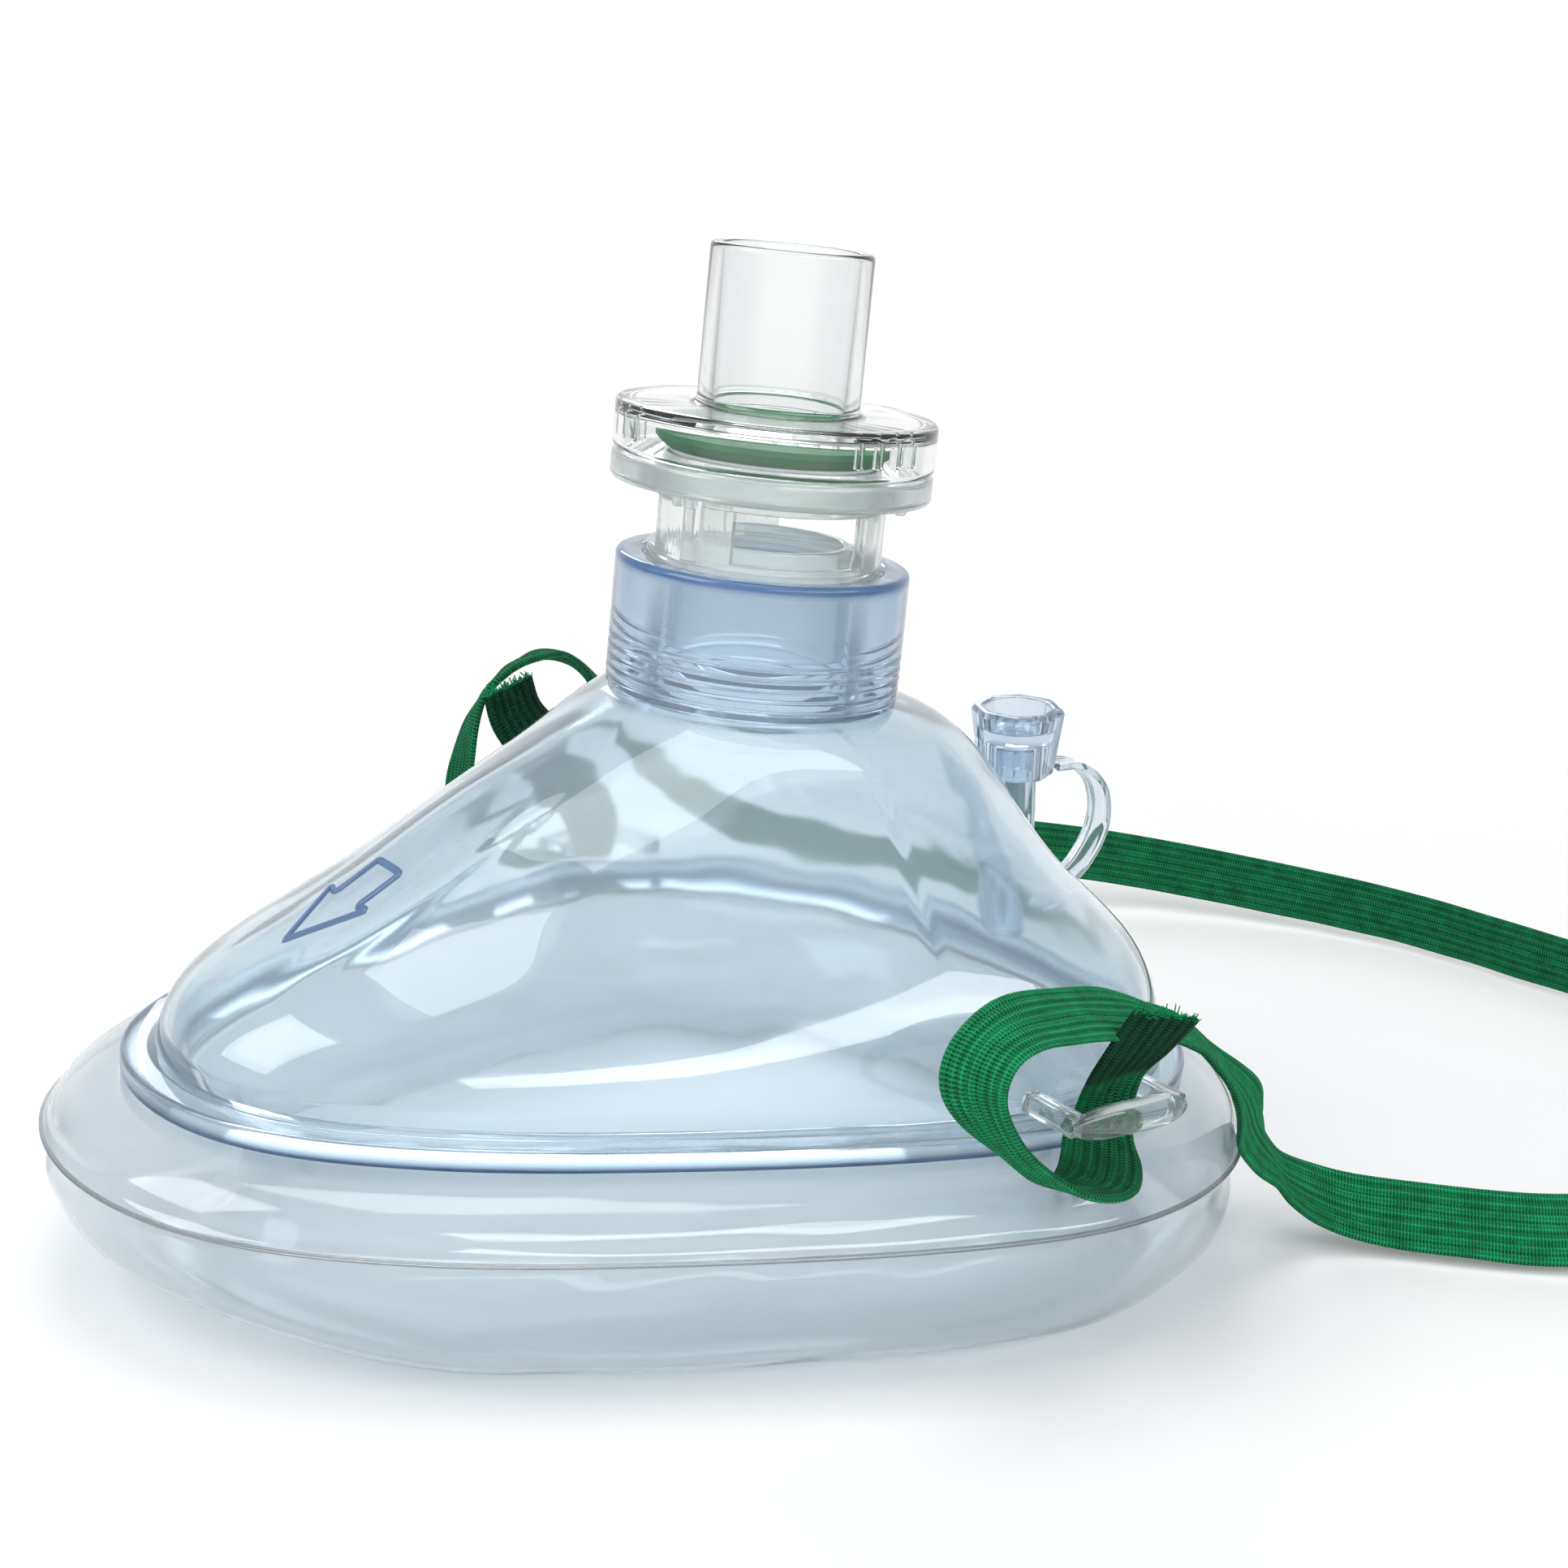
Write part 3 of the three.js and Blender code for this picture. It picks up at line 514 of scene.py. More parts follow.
FAR_LOOP = [
    ((0.9, 58.9, 48.6), (0.5, 0.83, -0.2)), ((-0.9, 58.5, 47.4), (0.5, 0.83, -0.2)),
    ((-3.1, 58, 43.8), (0.4, 0.9, -0.05)), ((-4.1, 57.9, 39.3), (0.3, 0.95, 0)),
    ((-4.2, 58.5, 33.6), (0.1, 1, 0)), ((-2, 59.6, 28.2), (0, 1, 0)), ((2.8, 60.8, 24.6), (0, 1, 0)),
    ((8.4, 60.6, 23.6), (0.6, 0.8, 0)), ((12, 57.4, 23.7), (1, 0.2, 0)), ((13.8, 53.8, 24.7), (1, 0, 0)),
    ((14, 53, 28.8), (1, 0, 0)), ((11.6, 52.6, 34.4), (1, 0, -0.1)), ((5, 52.6, 40.6), (0.98, 0.1, -0.1)),
    ((0.8, 53.2, 45.2), (0.98, 0.18, 0)), ((-0.6, 53.6, 49.2), (0.98, 0.18, 0)),
]
TAIL = 13.0                     # the last TAIL millimetres of each cut tail are coloured darker
BACK_SHADE = 0.45               # painted shade: how far the back face of the band, inside the loops, goes to the dark colour
RIPPLE = 0.16                   # how far the band waves out of its own plane
THREADS = 90                    # loose threads at a cut end, each with three sides
THREAD_ROOT_R, THREAD_TIP_R, THREAD_SHADE = 0.13, 0.07, 0.35
THIRD_TURN = 2.094
JOIN_REACH = 0.3                # the drawn bands meet where the solids stand apart


def band_frames(route, spacing=0.8):
    """Centre line of the band at even spacing, with its travel, across and depth directions."""
    centre = catmull([p for p, _ in route])
    side = catmull([s for _, s in route])
    table = evenly(centre, int(along(centre)[-1] / spacing) + 2, side)
    centre, side = soften(table[:, :3], 1.2), soften(table[:, 3:], 1.5)
    travel = unit(np.gradient(centre, axis=0))
    side = unit(side - (side * travel).sum(1)[:, None] * travel)
    return centre, travel, side, np.cross(travel, side)


def band_section():
    """Half thickness of the band across its width: ribs with thin rounded edges."""
    across = np.linspace(-0.5, 0.5, RIBS * 6 + 1)
    rib = np.abs(np.cos(across * RIBS * math.pi)) ** 0.6
    edge = np.sqrt(np.clip(1 - (np.abs(across) * 2) ** 10, 0.02, 1))
    return across * STRAP_WIDTH, STRAP_THICK / 2 * (0.5 + 0.5 * rib) * edge


def strap_piece(name, node, route, bright, tail_at=None):
    """A ribbed band along the route. bright is the side, 1 or -1, whose face is left unshaded; the other face
    gets painted shade. tail_at is the end, 0 or 1, that is cut, with loose threads and a darker end. The
    other ends reach a little to meet the next piece."""
    centre, travel, side, depth = band_frames(route)
    route_line = centre.copy()
    if tail_at != 0:
        centre[0] -= travel[0] * JOIN_REACH
    if tail_at != 1:
        centre[-1] += travel[-1] * JOIN_REACH
    across, half = band_section()
    width, rows = len(across), len(centre)
    length = along(centre)
    ripple = RIPPLE * np.sin(length / 2.3)[:, None] * np.sin(across / 2.1 + 0.6)[None, :]
    rings, marks = [], []
    for sign, order in ((1, slice(None)), (-1, slice(None, None, -1))):
        a, h = across[order], half[order]
        lift = sign * h[None, :] + ripple[:, order]
        rings.append(centre[:, None] + side[:, None] * a[None, :, None] + depth[:, None] * lift[:, :, None])
        # painted shade on the back face of the band
        shade = np.full((rows, width), 0.0 if sign == bright else BACK_SHADE)
        # the cut tail is coloured darker towards its end
        if tail_at is not None:
            from_end = length if tail_at == 0 else length[-1] - length
            shade = np.maximum(shade, (1 - step(TAIL * 0.7, TAIL, from_end))[:, None])
        marks.append(np.dstack(np.broadcast_arrays(a[None, :], length[:, None], shade)))
    points = np.concatenate(rings, axis=1)
    marks = np.concatenate(marks, axis=1).reshape(-1, 3)
    columns = points.shape[1]
    faces = grid_faces(rows, columns, False)
    for row in (0, rows - 1):
        for i in range(width - 1):
            k = row * columns
            face = (k + i, k + i + 1, k + columns - 2 - i, k + columns - 1 - i)
            faces.append(face if row else face[::-1])
    parts = [(points.reshape(-1, 3), faces)]
    if tail_at is not None:
        threads = loose_threads(centre, travel, side, depth, tail_at)
        parts.append(threads)
        marks = np.vstack([marks, np.tile((0.0, 0.0, THREAD_SHADE), (len(threads[0]), 1))])
    obj = facing_out(new_object(name, *joined(*parts), WEBBING, smooth_angle=60.0))
    field = obj.data.attributes.new("band", "FLOAT_VECTOR", "POINT")
    field.data.foreach_set("vector", marks.astype(np.float32).ravel())
    put(obj, [node])
    return obj


def loose_threads(centre, travel, side, depth, end):
    """Short frayed threads that stand out of a cut end."""
    rng = np.random.default_rng(11)
    k = 0 if end == 0 else -1
    out = travel[k] * (-1 if end == 0 else 1)
    points, faces = [], []
    for _ in range(THREADS):
        root = centre[k] + side[k] * rng.uniform(-4.3, 4.3) + depth[k] * rng.uniform(-0.35, 0.35) - out * 0.3
        lean = out + side[k] * rng.normal(0, 0.35) + depth[k] * rng.normal(0, 0.55)
        tip = root + lean * rng.uniform(0.5, 1.25)
        start = len(points)
        for a in range(3):
            turn = side[k] * math.cos(a * THIRD_TURN) + depth[k] * math.sin(a * THIRD_TURN)
            points.append(root + turn * THREAD_ROOT_R)
            points.append(tip + turn * THREAD_TIP_R)
        for a in range(3):
            b = (a + 1) % 3
            faces.append((start + 2 * a, start + 2 * b, start + 2 * b + 1, start + 2 * a + 1))
        faces.append((start, start + 4, start + 2))
        faces.append((start + 1, start + 3, start + 5))
    return np.array(points), faces


strap_piece("elastic_run", "head_strap", RUN, bright=1)
strap_piece("elastic_loop_near", "strap_loop_near", NEAR_LOOP, bright=-1, tail_at=0)
strap_piece("elastic_loop_far", "strap_loop_far", FAR_LOOP, bright=1, tail_at=1)

# ---------------------------------------------------------------- mask outline
HALF_OUTLINE = [
    (-74, 0), (-70, 14), (-56, 26.5), (-32, 38), (0, 48.5), (17, 50.2), (34.5, 44), (47.8, 27.5), (53.5, 0),
]
HARMONICS = 12                  # the outline keeps its first waves only, so that its curvature is even


def outline_curve():
    points = [(x, -y) for x, y in HALF_OUTLINE] + HALF_OUTLINE[-2:0:-1]
    line = catmull(points, 60, closed=True)
    line = evenly(np.vstack([line, line[:1]]), ROUND + 1)[:-1]
    waves = np.fft.fft(line[:, 0] + 1j * line[:, 1])
    number = np.fft.fftfreq(ROUND, 1 / ROUND)
    waves *= np.exp(-(np.abs(number) / (HARMONICS * 1.4)) ** 6)
    smooth = np.fft.ifft(waves)
    slope = np.fft.ifft(waves * 1j * number)
    normal = -1j * slope / np.abs(slope)
    return smooth, normal


OUTLINE, OUTWARD = outline_curve()


def outline(offset):
    """The flange edge pushed out by offset, going round counter-clockwise from the nose."""
    moved = OUTLINE + OUTWARD * offset
    return np.stack([moved.real, moved.imag], axis=1)


def at_height(ring, z):
    return np.column_stack([ring, np.broadcast_to(z, len(ring))])


# ---------------------------------------------------------------- dome, flange and collar
# Height against distance inward from the foot (0) to the collar (1), for four directions.
DOME_PROFILES = {
    "chin": [(0, 0), (0.0, 0.13), (0.06, 0.27), (0.2, 0.38), (0.38, 0.5), (0.55, 0.67), (0.66, 0.83),
             (0.8, 0.95), (1, 1)],
    "side": [(0, 0), (0.01, 0.12), (0.07, 0.26), (0.2, 0.42), (0.38, 0.6), (0.55, 0.77), (0.72, 0.9),
             (0.86, 0.97), (1, 1)],
    "cheek": [(0, 0), (0.01, 0.08), (0.06, 0.16), (0.17, 0.26), (0.36, 0.42), (0.6, 0.65), (0.8, 0.83),
              (0.92, 0.94), (1, 1)],
    "nose": [(0, 0), (0.01, 0.1), (0.06, 0.2), (0.17, 0.31), (0.36, 0.46), (0.6, 0.68), (0.8, 0.84),
             (0.92, 0.94), (1, 1)],
}
DOME_ROWS = 72
RIDGE_HALF = 6.0                # half width of the soft ridge down the nose
RIDGE_RISE = 0.25
RIDGE_SHARE = 0.45              # how far its flanks are brought up to its crest, from 0 to 1
RIDGE_IN, RIDGE_OUT = (-66, -56), (-34, -24)  # x over which it comes in, and goes out


def dome_rings(inset, drop):
    """Rings of the dome skin from its foot to the collar."""
    foot = outline(-DOME_FOOT_IN - inset)
    angle = np.arctan2(foot[:, 1], foot[:, 0])
    chin = np.maximum(0, np.cos(angle)) ** 2
    nose = np.maximum(0, -np.cos(angle)) ** 8
    cheek = np.maximum(0, -np.cos(angle)) - nose
    weights = {"chin": chin, "cheek": cheek, "nose": nose, "side": 1 - chin - cheek - nose}
    lines = {name: soften(evenly(catmull(pairs), DOME_ROWS), 2.2) for name, pairs in DOME_PROFILES.items()}
    bottom = FLANGE_TOP
    top = COLLAR_R - 0.2 - inset
    circle = np.stack([top * np.cos(angle), top * np.sin(angle)], axis=1)
    rings = []
    for j in range(DOME_ROWS):
        u = sum(weights[name] * line[j, 0] for name, line in lines.items())
        v = sum(weights[name] * line[j, 1] for name, line in lines.items())
        flat = foot + (circle - foot) * u[:, None]
        rings.append(at_height(flat, bottom + (DOME_TOP - bottom - drop) * v))
    return raise_ridge(np.array(rings))


def raise_ridge(rings):
    """Lifts a soft ridge out of the nose slope, a little flatter than the slope is."""
    middle = rings[:, 0]
    order = np.argsort(middle[:, 0])
    crest = np.interp(rings[..., 0], middle[order, 0], middle[order, 2])
    share = RIDGE_SHARE * (1 - step(RIDGE_HALF - 2.2, RIDGE_HALF + 2.0, np.abs(rings[..., 1])))
    share *= step(*RIDGE_IN, rings[..., 0]) * (1 - step(*RIDGE_OUT, rings[..., 0]))
    lifted = rings.copy()
    lifted[..., 2] += share * (crest + RIDGE_RISE - rings[..., 2])
    return lifted


def circle_ring(radius, z):
    foot = outline(-DOME_FOOT_IN)
    angle = np.arctan2(foot[:, 1], foot[:, 0])
    return np.stack([radius * np.cos(angle), radius * np.sin(angle), np.full(ROUND, z)], axis=1)


def make_shell():
    """Dome and flange, moulded as one skin. Its inside is marked, and so is the flange's lower corner, for a
    painted dark line of shade.
    """
    outside = dome_rings(0, 0)
    inside = dome_rings(DOME_WALL, DOME_WALL)
    rings = [at_height(outline(offset), z) for offset, z in rounded([
        (-FLANGE_WIDTH, FLANGE_BOTTOM), (-1.4, FLANGE_BOTTOM), (0, FLANGE_BOTTOM), (0, FLANGE_TOP),
        (-DOME_FOOT_IN + 0.7, FLANGE_TOP), (-DOME_FOOT_IN, FLANGE_TOP + 0.6),
    ], 0.55)]
    rings += list(outside[3:-1])
    rings += [circle_ring(r, z) for r, z in rounded([
        (COLLAR_R - 0.6, DOME_TOP), (SOCKET_R, DOME_TOP), (SOCKET_R, DOME_TOP - DOME_WALL),
        (COLLAR_R - 2.2, DOME_TOP - DOME_WALL),
    ], 0.5)]
    first_inside = len(rings)
    rings += list(inside[::-1][2:-2])
    shell = new_object("mask_shell", *loft(rings), VINYL)
    corner = (*outline(0)[0], FLANGE_BOTTOM)
    from_corner = np.array([math.dist(ring[0], corner) for ring in rings])
    mark_points(shell, "inside", np.arange(len(rings)) >= first_inside - 2, ROUND)
    # painted shade: a dark line along the flange's lower corner
    mark_points(shell, "edge", 1 - step(0.5, 1.2, from_corner), ROUND)
    return shell


def mark_points(obj, name, rings, around):
    """Writes a 0 to 1 point attribute that is the same all round each ring."""
    values = np.repeat(np.asarray(rings, np.float32), around)
    obj.data.attributes.new(name, "FLOAT", "POINT").data.foreach_set("value", values)


def make_collar():
    """Thick collar with fine rings round its foot and a softly rounded top, whose rim is marked for a painted
    dark line of shade.
    """
    line = [(SOCKET_R, DOME_TOP + 0.12), (COLLAR_R - 0.1, DOME_TOP + 0.12)]
    for k in range(COLLAR_GROOVES):
        z = DOME_TOP + 1.1 + k * GROOVE_STEP
        line += [(COLLAR_R, z), (COLLAR_R - GROOVE_DEPTH, z + 0.25), (COLLAR_R, z + 0.5)]
    line += [
        (COLLAR_R - 0.04, COLLAR_TOP - 2.0), (COLLAR_R - 0.05, COLLAR_TOP), (COLLAR_R - 1.6, COLLAR_TOP),
        (RECESS_R, COLLAR_TOP), (RECESS_R, RECESS_FLOOR),
        (SOCKET_R, RECESS_FLOOR),
    ]
    section, around = rounded_ring(line, 0.8, 5), 192
    collar = new_object("neck_collar_blue", *turned(section, around), BLUE_VINYL)
    # painted shade: the rim of the rounded top is marked for a dark edge line
    rim = np.linalg.norm(section - (COLLAR_R, COLLAR_TOP), axis=1)
    mark_points(collar, "edge", 1 - step(0.9, 1.9, rim), around)
    return collar


put(make_shell(), ["mask_dome", "mask_flange"])
put(make_collar(), ["neck_collar"])


# ---------------------------------------------------------------- cushion
FILM_THICK = 0.55


def film_section(line, rows, thick):
    """A thin closed section that follows an open (offset, height) line."""
    centre = soften(evenly(catmull(line), rows), 2.0)
    slope = unit(np.gradient(centre, axis=0))
    inner = centre + np.stack([-slope[:, 1], slope[:, 0]], axis=1) * thick
    return np.vstack([centre, inner[::-1]])


def dimple(ring, z):
    """Slow dents that an inflated film has, in millimetres along the outline's normal."""
    a = np.arctan2(ring[:, 1], ring[:, 0])
    return 0.34 * np.sin(5 * a + 0.4 * z) * np.sin(3 * a + 1.1) + 0.16 * np.sin(13 * a - 0.7 * z)


def make_film(name, line, rows, lift):
    rings = []
    for offset, z in film_section(line, rows, FILM_THICK):
        ring = outline(offset)
        share = step(0.3, 3.5, abs(z - SEAM_Z)) * step(0, 5, 21.5 - z)
        ring = ring + np.stack([OUTWARD.real, OUTWARD.imag], axis=1) * (dimple(ring, z) * share)[:, None]
        height = np.full(ROUND, z)
        if lift:
            height = np.maximum(z, 0) + NOSE_LIFT * step(48, 84, -ring[:, 0]) * max(0, 1 - z / SEAM_Z)
        rings.append(at_height(ring, height))
    return new_object(name, *loft(rings), FILM)


UPPER_LINE = [
    (SEAM_OUT + 0.75, SEAM_Z + 0.2), (SEAM_OUT, SEAM_Z + 0.35), (6.75, 18.6), (4.9, 20.6), (2.4, 21.7),
    (0, 22.0), (-2.5, 22.0), (-6.5, 22.0),
]
LOWER_LINE = [
    (-7.6, 21.6), (-11, 18.6), (-13.6, 13.4), (-13.4, 7.2), (-10.6, 2.4), (-5.4, 0.1), (-0.6, 0), (4, 2.2),
    (6.6, 6.4), (7.4, 11), (SEAM_OUT, SEAM_Z - 0.9), (SEAM_OUT + 0.15, SEAM_Z - 0.35),
    (SEAM_OUT + 0.75, SEAM_Z - 0.15),
]
top_film = put(make_film("cushion_top_film", UPPER_LINE, 44, False), ["cushion_upper"])
bottom_film = put(make_film("cushion_bottom_film", LOWER_LINE, 84, True), ["cushion_lower"])

# ---------------------------------------------------------------- valve
COVER_WALL, COVER_PLATE = 1.5, 1.3
PANEL_HALF = math.radians(25)   # half the turn of each wall panel between the vent windows
PANEL_TURNS = [math.radians(72 + k * 120) for k in range(3)]
COVER_RIBS, TAB_PAIRS = 4, 3    # ribs in each of the cover's three groups, and pairs of snap tabs
DIAPHRAGM_THICK = 0.7


def make_cover():
    obj = new_object("valve_cover_clear", *turned(rounded_ring([
        (RING_R - COVER_WALL, RING_TOP + 0.3), (RING_R, RING_TOP + 0.3), (RING_R, COVER_TOP),
        (MOUTH_R, COVER_TOP), (MOUTH_R - 0.05, MOUTH_TOP), (MOUTH_BORE_R, MOUTH_TOP),
        (MOUTH_BORE_R - 0.25, COVER_TOP - COVER_PLATE), (RING_R - COVER_WALL, COVER_TOP - COVER_PLATE),
    ], 0.9, 6)), RIGID)
    ribs = []
    for group in range(3):
        for k in range(COVER_RIBS):
            turn = math.radians(-94 + group * 120 + k * 9)
            centre = (RING_R - COVER_WALL - 0.35, 0, COVER_TOP - 2.7)
            ribs.append(bevelled_box((1.2, 0.7, 3.0), centre, turn, 0.15))
    return united(obj, *ribs)


def make_ring():
    obj = new_object("valve_ring_frosted", *turned(rounded_ring([
        (VENT_R + 0.3, RING_BOTTOM), (RING_R, RING_BOTTOM), (RING_R, RING_TOP), (VENT_R + 0.3, RING_TOP),
    ], 0.55)), FROSTED)
    tabs = []
    for k in range(TAB_PAIRS):
        for side in (-1, 1):
            turn = math.radians(196 + k * 120 + side * 3.4)
            tabs.append(bevelled_box((1.2, 1.1, 2.4), (RING_R - 3.2, 0, RING_BOTTOM - 0.3), turn, 0.2))
    return united(obj, *tabs)


def make_valve_body():
    obj = new_object("valve_body_clear", *turned(rounded_ring([
        (TAPER_R - 1.6, TAPER_BOTTOM), (TAPER_R - 0.3, TAPER_BOTTOM), (TAPER_R, VENT_BOTTOM),
        (VENT_R, VENT_BOTTOM), (VENT_R, VENT_SILL), (VENT_R - 1.3, VENT_SILL),
        (VENT_R - 1.4, VENT_BOTTOM + 1.2), (TAPER_R - 0.6, VENT_BOTTOM + 1.2),
        (TAPER_R - 0.8, VENT_SILL + 1.2), (TAPER_R - 1.8, VENT_SILL + 1.2),
    ], 0.3)), VALVE_WALL)
    seat = turned(rounded_ring([
        (VENT_R - 1.4, RING_BOTTOM - 1.4), (VENT_R, RING_BOTTOM - 1.4), (VENT_R, RING_TOP),
        (SEAT_R + 0.6, RING_TOP), (SEAT_R + 0.4, SEAT_TOP), (SEAT_R - 0.4, SEAT_TOP),
        (SEAT_R - 0.4, RING_TOP - 1.2),
    ], 0.2))
    panels = [wall_panel(turn) for turn in PANEL_TURNS]
    rib_size = (1.6, 2.4, RING_BOTTOM - VENT_SILL + 0.2)
    rib_centre = (VENT_R - 1.3, 0, (VENT_SILL + RING_BOTTOM - 1.4) / 2)
    ribs = [bevelled_box(rib_size, rib_centre, turn, 0.2) for turn in PANEL_TURNS]
    return united(obj, seat, *panels, *ribs)


def wall_panel(middle):
    """Stretch of the clear wall between two vent windows."""
    steps = 24
    inner, outer = VENT_R - 1.3, VENT_R - 0.02
    bottom, top = VENT_SILL - 0.4, RING_BOTTOM - 1.1
    section = ((inner, bottom), (outer, bottom), (outer, top), (inner, top))
    rings = []
    for a in np.linspace(middle - PANEL_HALF, middle + PANEL_HALF, steps):
        rings.append([(r * math.cos(a), r * math.sin(a), z) for r, z in section])
    faces = grid_faces(steps, 4, False)
    end = (steps - 1) * 4
    faces += [(0, 1, 2, 3), (end + 3, end + 2, end + 1, end)]
    return np.array(rings).reshape(-1, 3), faces


def make_diaphragm():
    under = np.array([(0, 0.25), (5, 0.28), (SEAT_R, 0.3), (12.9, 0.75), (DIAPHRAGM_R, 1.5)])
    under = evenly(catmull(under), 40)
    over = under[::-1] + (0, DIAPHRAGM_THICK)
    profile = np.vstack([under, over]) + (0, SEAT_TOP)
    return new_object("diaphragm_disc", *turned(profile), SILICONE)


put(make_cover(), ["valve_cover"], "valve")
put(make_ring(), ["valve_ring"], "valve")
put(make_valve_body(), ["valve_body"], "valve")
put(make_diaphragm(), ["valve_diaphragm"], "diaphragm")

# ---------------------------------------------------------------- oxygen port, cap and tether
PORT_FOOT = Vector((47.8, 2, 27.7))
PORT_AXIS = Vector((-0.1, 0, 1)).normalized()
PORT_R, PORT_BORE_R = 2.9, 1.6
CAP_BOTTOM, CAP_TOP, CAP_SIDES = 20.0, 29.0, 8
PORT_PLACE = Matrix.Translation(PORT_FOOT) @ PORT_AXIS.to_track_quat("Z", "Y").to_matrix().to_4x4()
TETHER_ROUTE = [
    (51.9, 2, 48.2), (56.4, 2, 47.9), (60.9, 2, 44.6), (62.2, 2, 39.4), (59.8, 2, 34.2), (55.6, 2, 30.6),
]


def make_port():
    return new_object("oxygen_port_tube", *turned(rounded_ring([
        (PORT_BORE_R, -1), (PORT_R, -1), (PORT_R, 15), (PORT_R - 0.3, 24), (PORT_BORE_R, 24),
    ], 0.3), 64, PORT_PLACE), BLUE_VINYL)


def make_cap():
    """Eight-sided cup with a softly rounded rim."""
    profile = rounded([
        (0, CAP_BOTTOM + 4.6), (PORT_R + 0.3, CAP_BOTTOM + 4.6), (PORT_R + 0.3, CAP_BOTTOM),
        (4.7, CAP_BOTTOM), (4.9, CAP_BOTTOM + 1), (5.9, CAP_TOP - 0.6), (5.5, CAP_TOP),
        (4.3, CAP_TOP), (3.8, CAP_TOP - 2.8), (0, CAP_TOP - 2.8),
    ], 0.35)
    steps = 96
    angles = np.linspace(0, 2 * math.pi, steps, endpoint=False)
    half = math.pi / CAP_SIDES
    facet = math.cos(half) / np.cos((angles % (2 * half)) - half)
    points, faces = turned(profile, steps)
    for start in range(0, len(points) - 2, steps):
        radius = np.linalg.norm(points[start, :2])
        share = 0.9 * step(3.5, 4.8, radius)
        points[start:start + steps, :2] *= (1 - share + share * facet * 1.03)[:, None]
    points = np.array([PORT_PLACE @ Vector(p) for p in points])
    return new_object("oxygen_cap_cup", points, faces, BLUE_VINYL, smooth_angle=24.0)


def make_tether():
    """Thin clear band with thicker edges, from the cap round to the mask."""
    centre = evenly(catmull(TETHER_ROUTE), 60)
    travel = unit(np.gradient(centre, axis=0))
    side = np.array((0.0, 1.0, 0.0))
    depth = np.cross(travel, side)
    across = np.array([-2.0, -1.9, -1.5, -1.2, -0.6, 0.6, 1.2, 1.5, 1.9, 2.0])
    half = np.array([0.25, 0.45, 0.5, 0.32, 0.26, 0.26, 0.32, 0.5, 0.45, 0.25])
    section = np.concatenate([np.stack([across, half], 1), np.stack([across, -half], 1)[::-1]])
    rings = centre[:, None] + side * section[None, :, :1] + depth[:, None] * section[None, :, 1:]
    columns = len(section)
    faces = grid_faces(len(centre), columns, False)
    end = (len(centre) - 1) * columns
    faces += [tuple(range(columns)), tuple(end + k for k in range(columns))]
    obj = facing_out(new_object("oxygen_cap_band", rings.reshape(-1, 3), faces, VINYL, smooth_angle=50.0))
    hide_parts("oxygen_cap_tether")
    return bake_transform(obj)


put(make_port(), ["oxygen_port"])
put(make_cap(), ["oxygen_cap"], "cap")
make_tether()

# ---------------------------------------------------------------- strap lugs
LUG_X, LUG_LENGTH, LUG_BAR_Y, LUG_Z = 14.0, 17.0, 56.0, 27.8
LUG_HALF, LUG_TALL = 1.45, 1.95  # half depth and half height of the bar
LUG_BLUNT, LUG_END = 3.5, 0.15  # how blunt the bar's ends are, and their least size
ARM_WIDTH, ARM_ROOT_Y, ARM_THICK = 2.2, 47.9, 2.4
ARM_DEEPER = 1.1                # the arm on the chin side is rooted further in


def make_lug(name, side):
    """Lens-shaped bar held off the dome by two flat arms."""
    steps, around = 40, 32
    rings = []
    for t in np.linspace(-1, 1, steps):
        grow = max((1 - abs(t) ** LUG_BLUNT) ** 0.5, LUG_END)
        a = np.linspace(0, 2 * math.pi, around, endpoint=False)
        bar = np.stack([np.full(around, LUG_X + t * LUG_LENGTH / 2),
                        -LUG_BAR_Y + LUG_HALF * grow * np.cos(a),
                        LUG_Z + LUG_TALL * grow * np.sin(a)], axis=1)
        rings.append(bar)
    rings = np.array(rings)
    faces = grid_faces(steps, around, False)
    end = (steps - 1) * around
    faces += [tuple(range(around))[::-1], tuple(end + k for k in range(around))]
    bar = facing_out(new_object(name, rings.reshape(-1, 3), faces, LUG_PLASTIC))
    arms = []
    for end in (-1, 1):
        root = ARM_ROOT_Y - (ARM_DEEPER if end > 0 else 0)
        reach = LUG_BAR_Y - root
        x = LUG_X + end * (LUG_LENGTH - ARM_WIDTH) / 2
        arms.append(bevelled_box((ARM_WIDTH, reach, ARM_THICK), (x, -(LUG_BAR_Y + root) / 2, LUG_Z), 0, 0.35))
    lug = united(bar, *arms)
    if side > 0:
        lug.data.transform(Matrix.Scale(-1, 4, (0, 1, 0)))
        lug.data.flip_normals()
    return lug


put(make_lug("lug_near", -1), ["strap_lug_near"])
put(make_lug("lug_far", 1), ["strap_lug_far"])


# ---------------------------------------------------------------- nose arrow
ARROW_TIP_X = -58.6
ARROW_SLOPE = math.radians(30.6)  # of the nose there
ARROW_CORNERS = [
    (0.35, 0), (9.0, 4.3), (8.4, 2.5), (14.3, 2.5), (14.3, -2.5), (8.4, -2.5), (9.0, -4.3),
]
ARROW_RAISE, ARROW_SINK, ARROW_LINE = 0.35, 0.15, 0.34  # above and below the skin, and half width


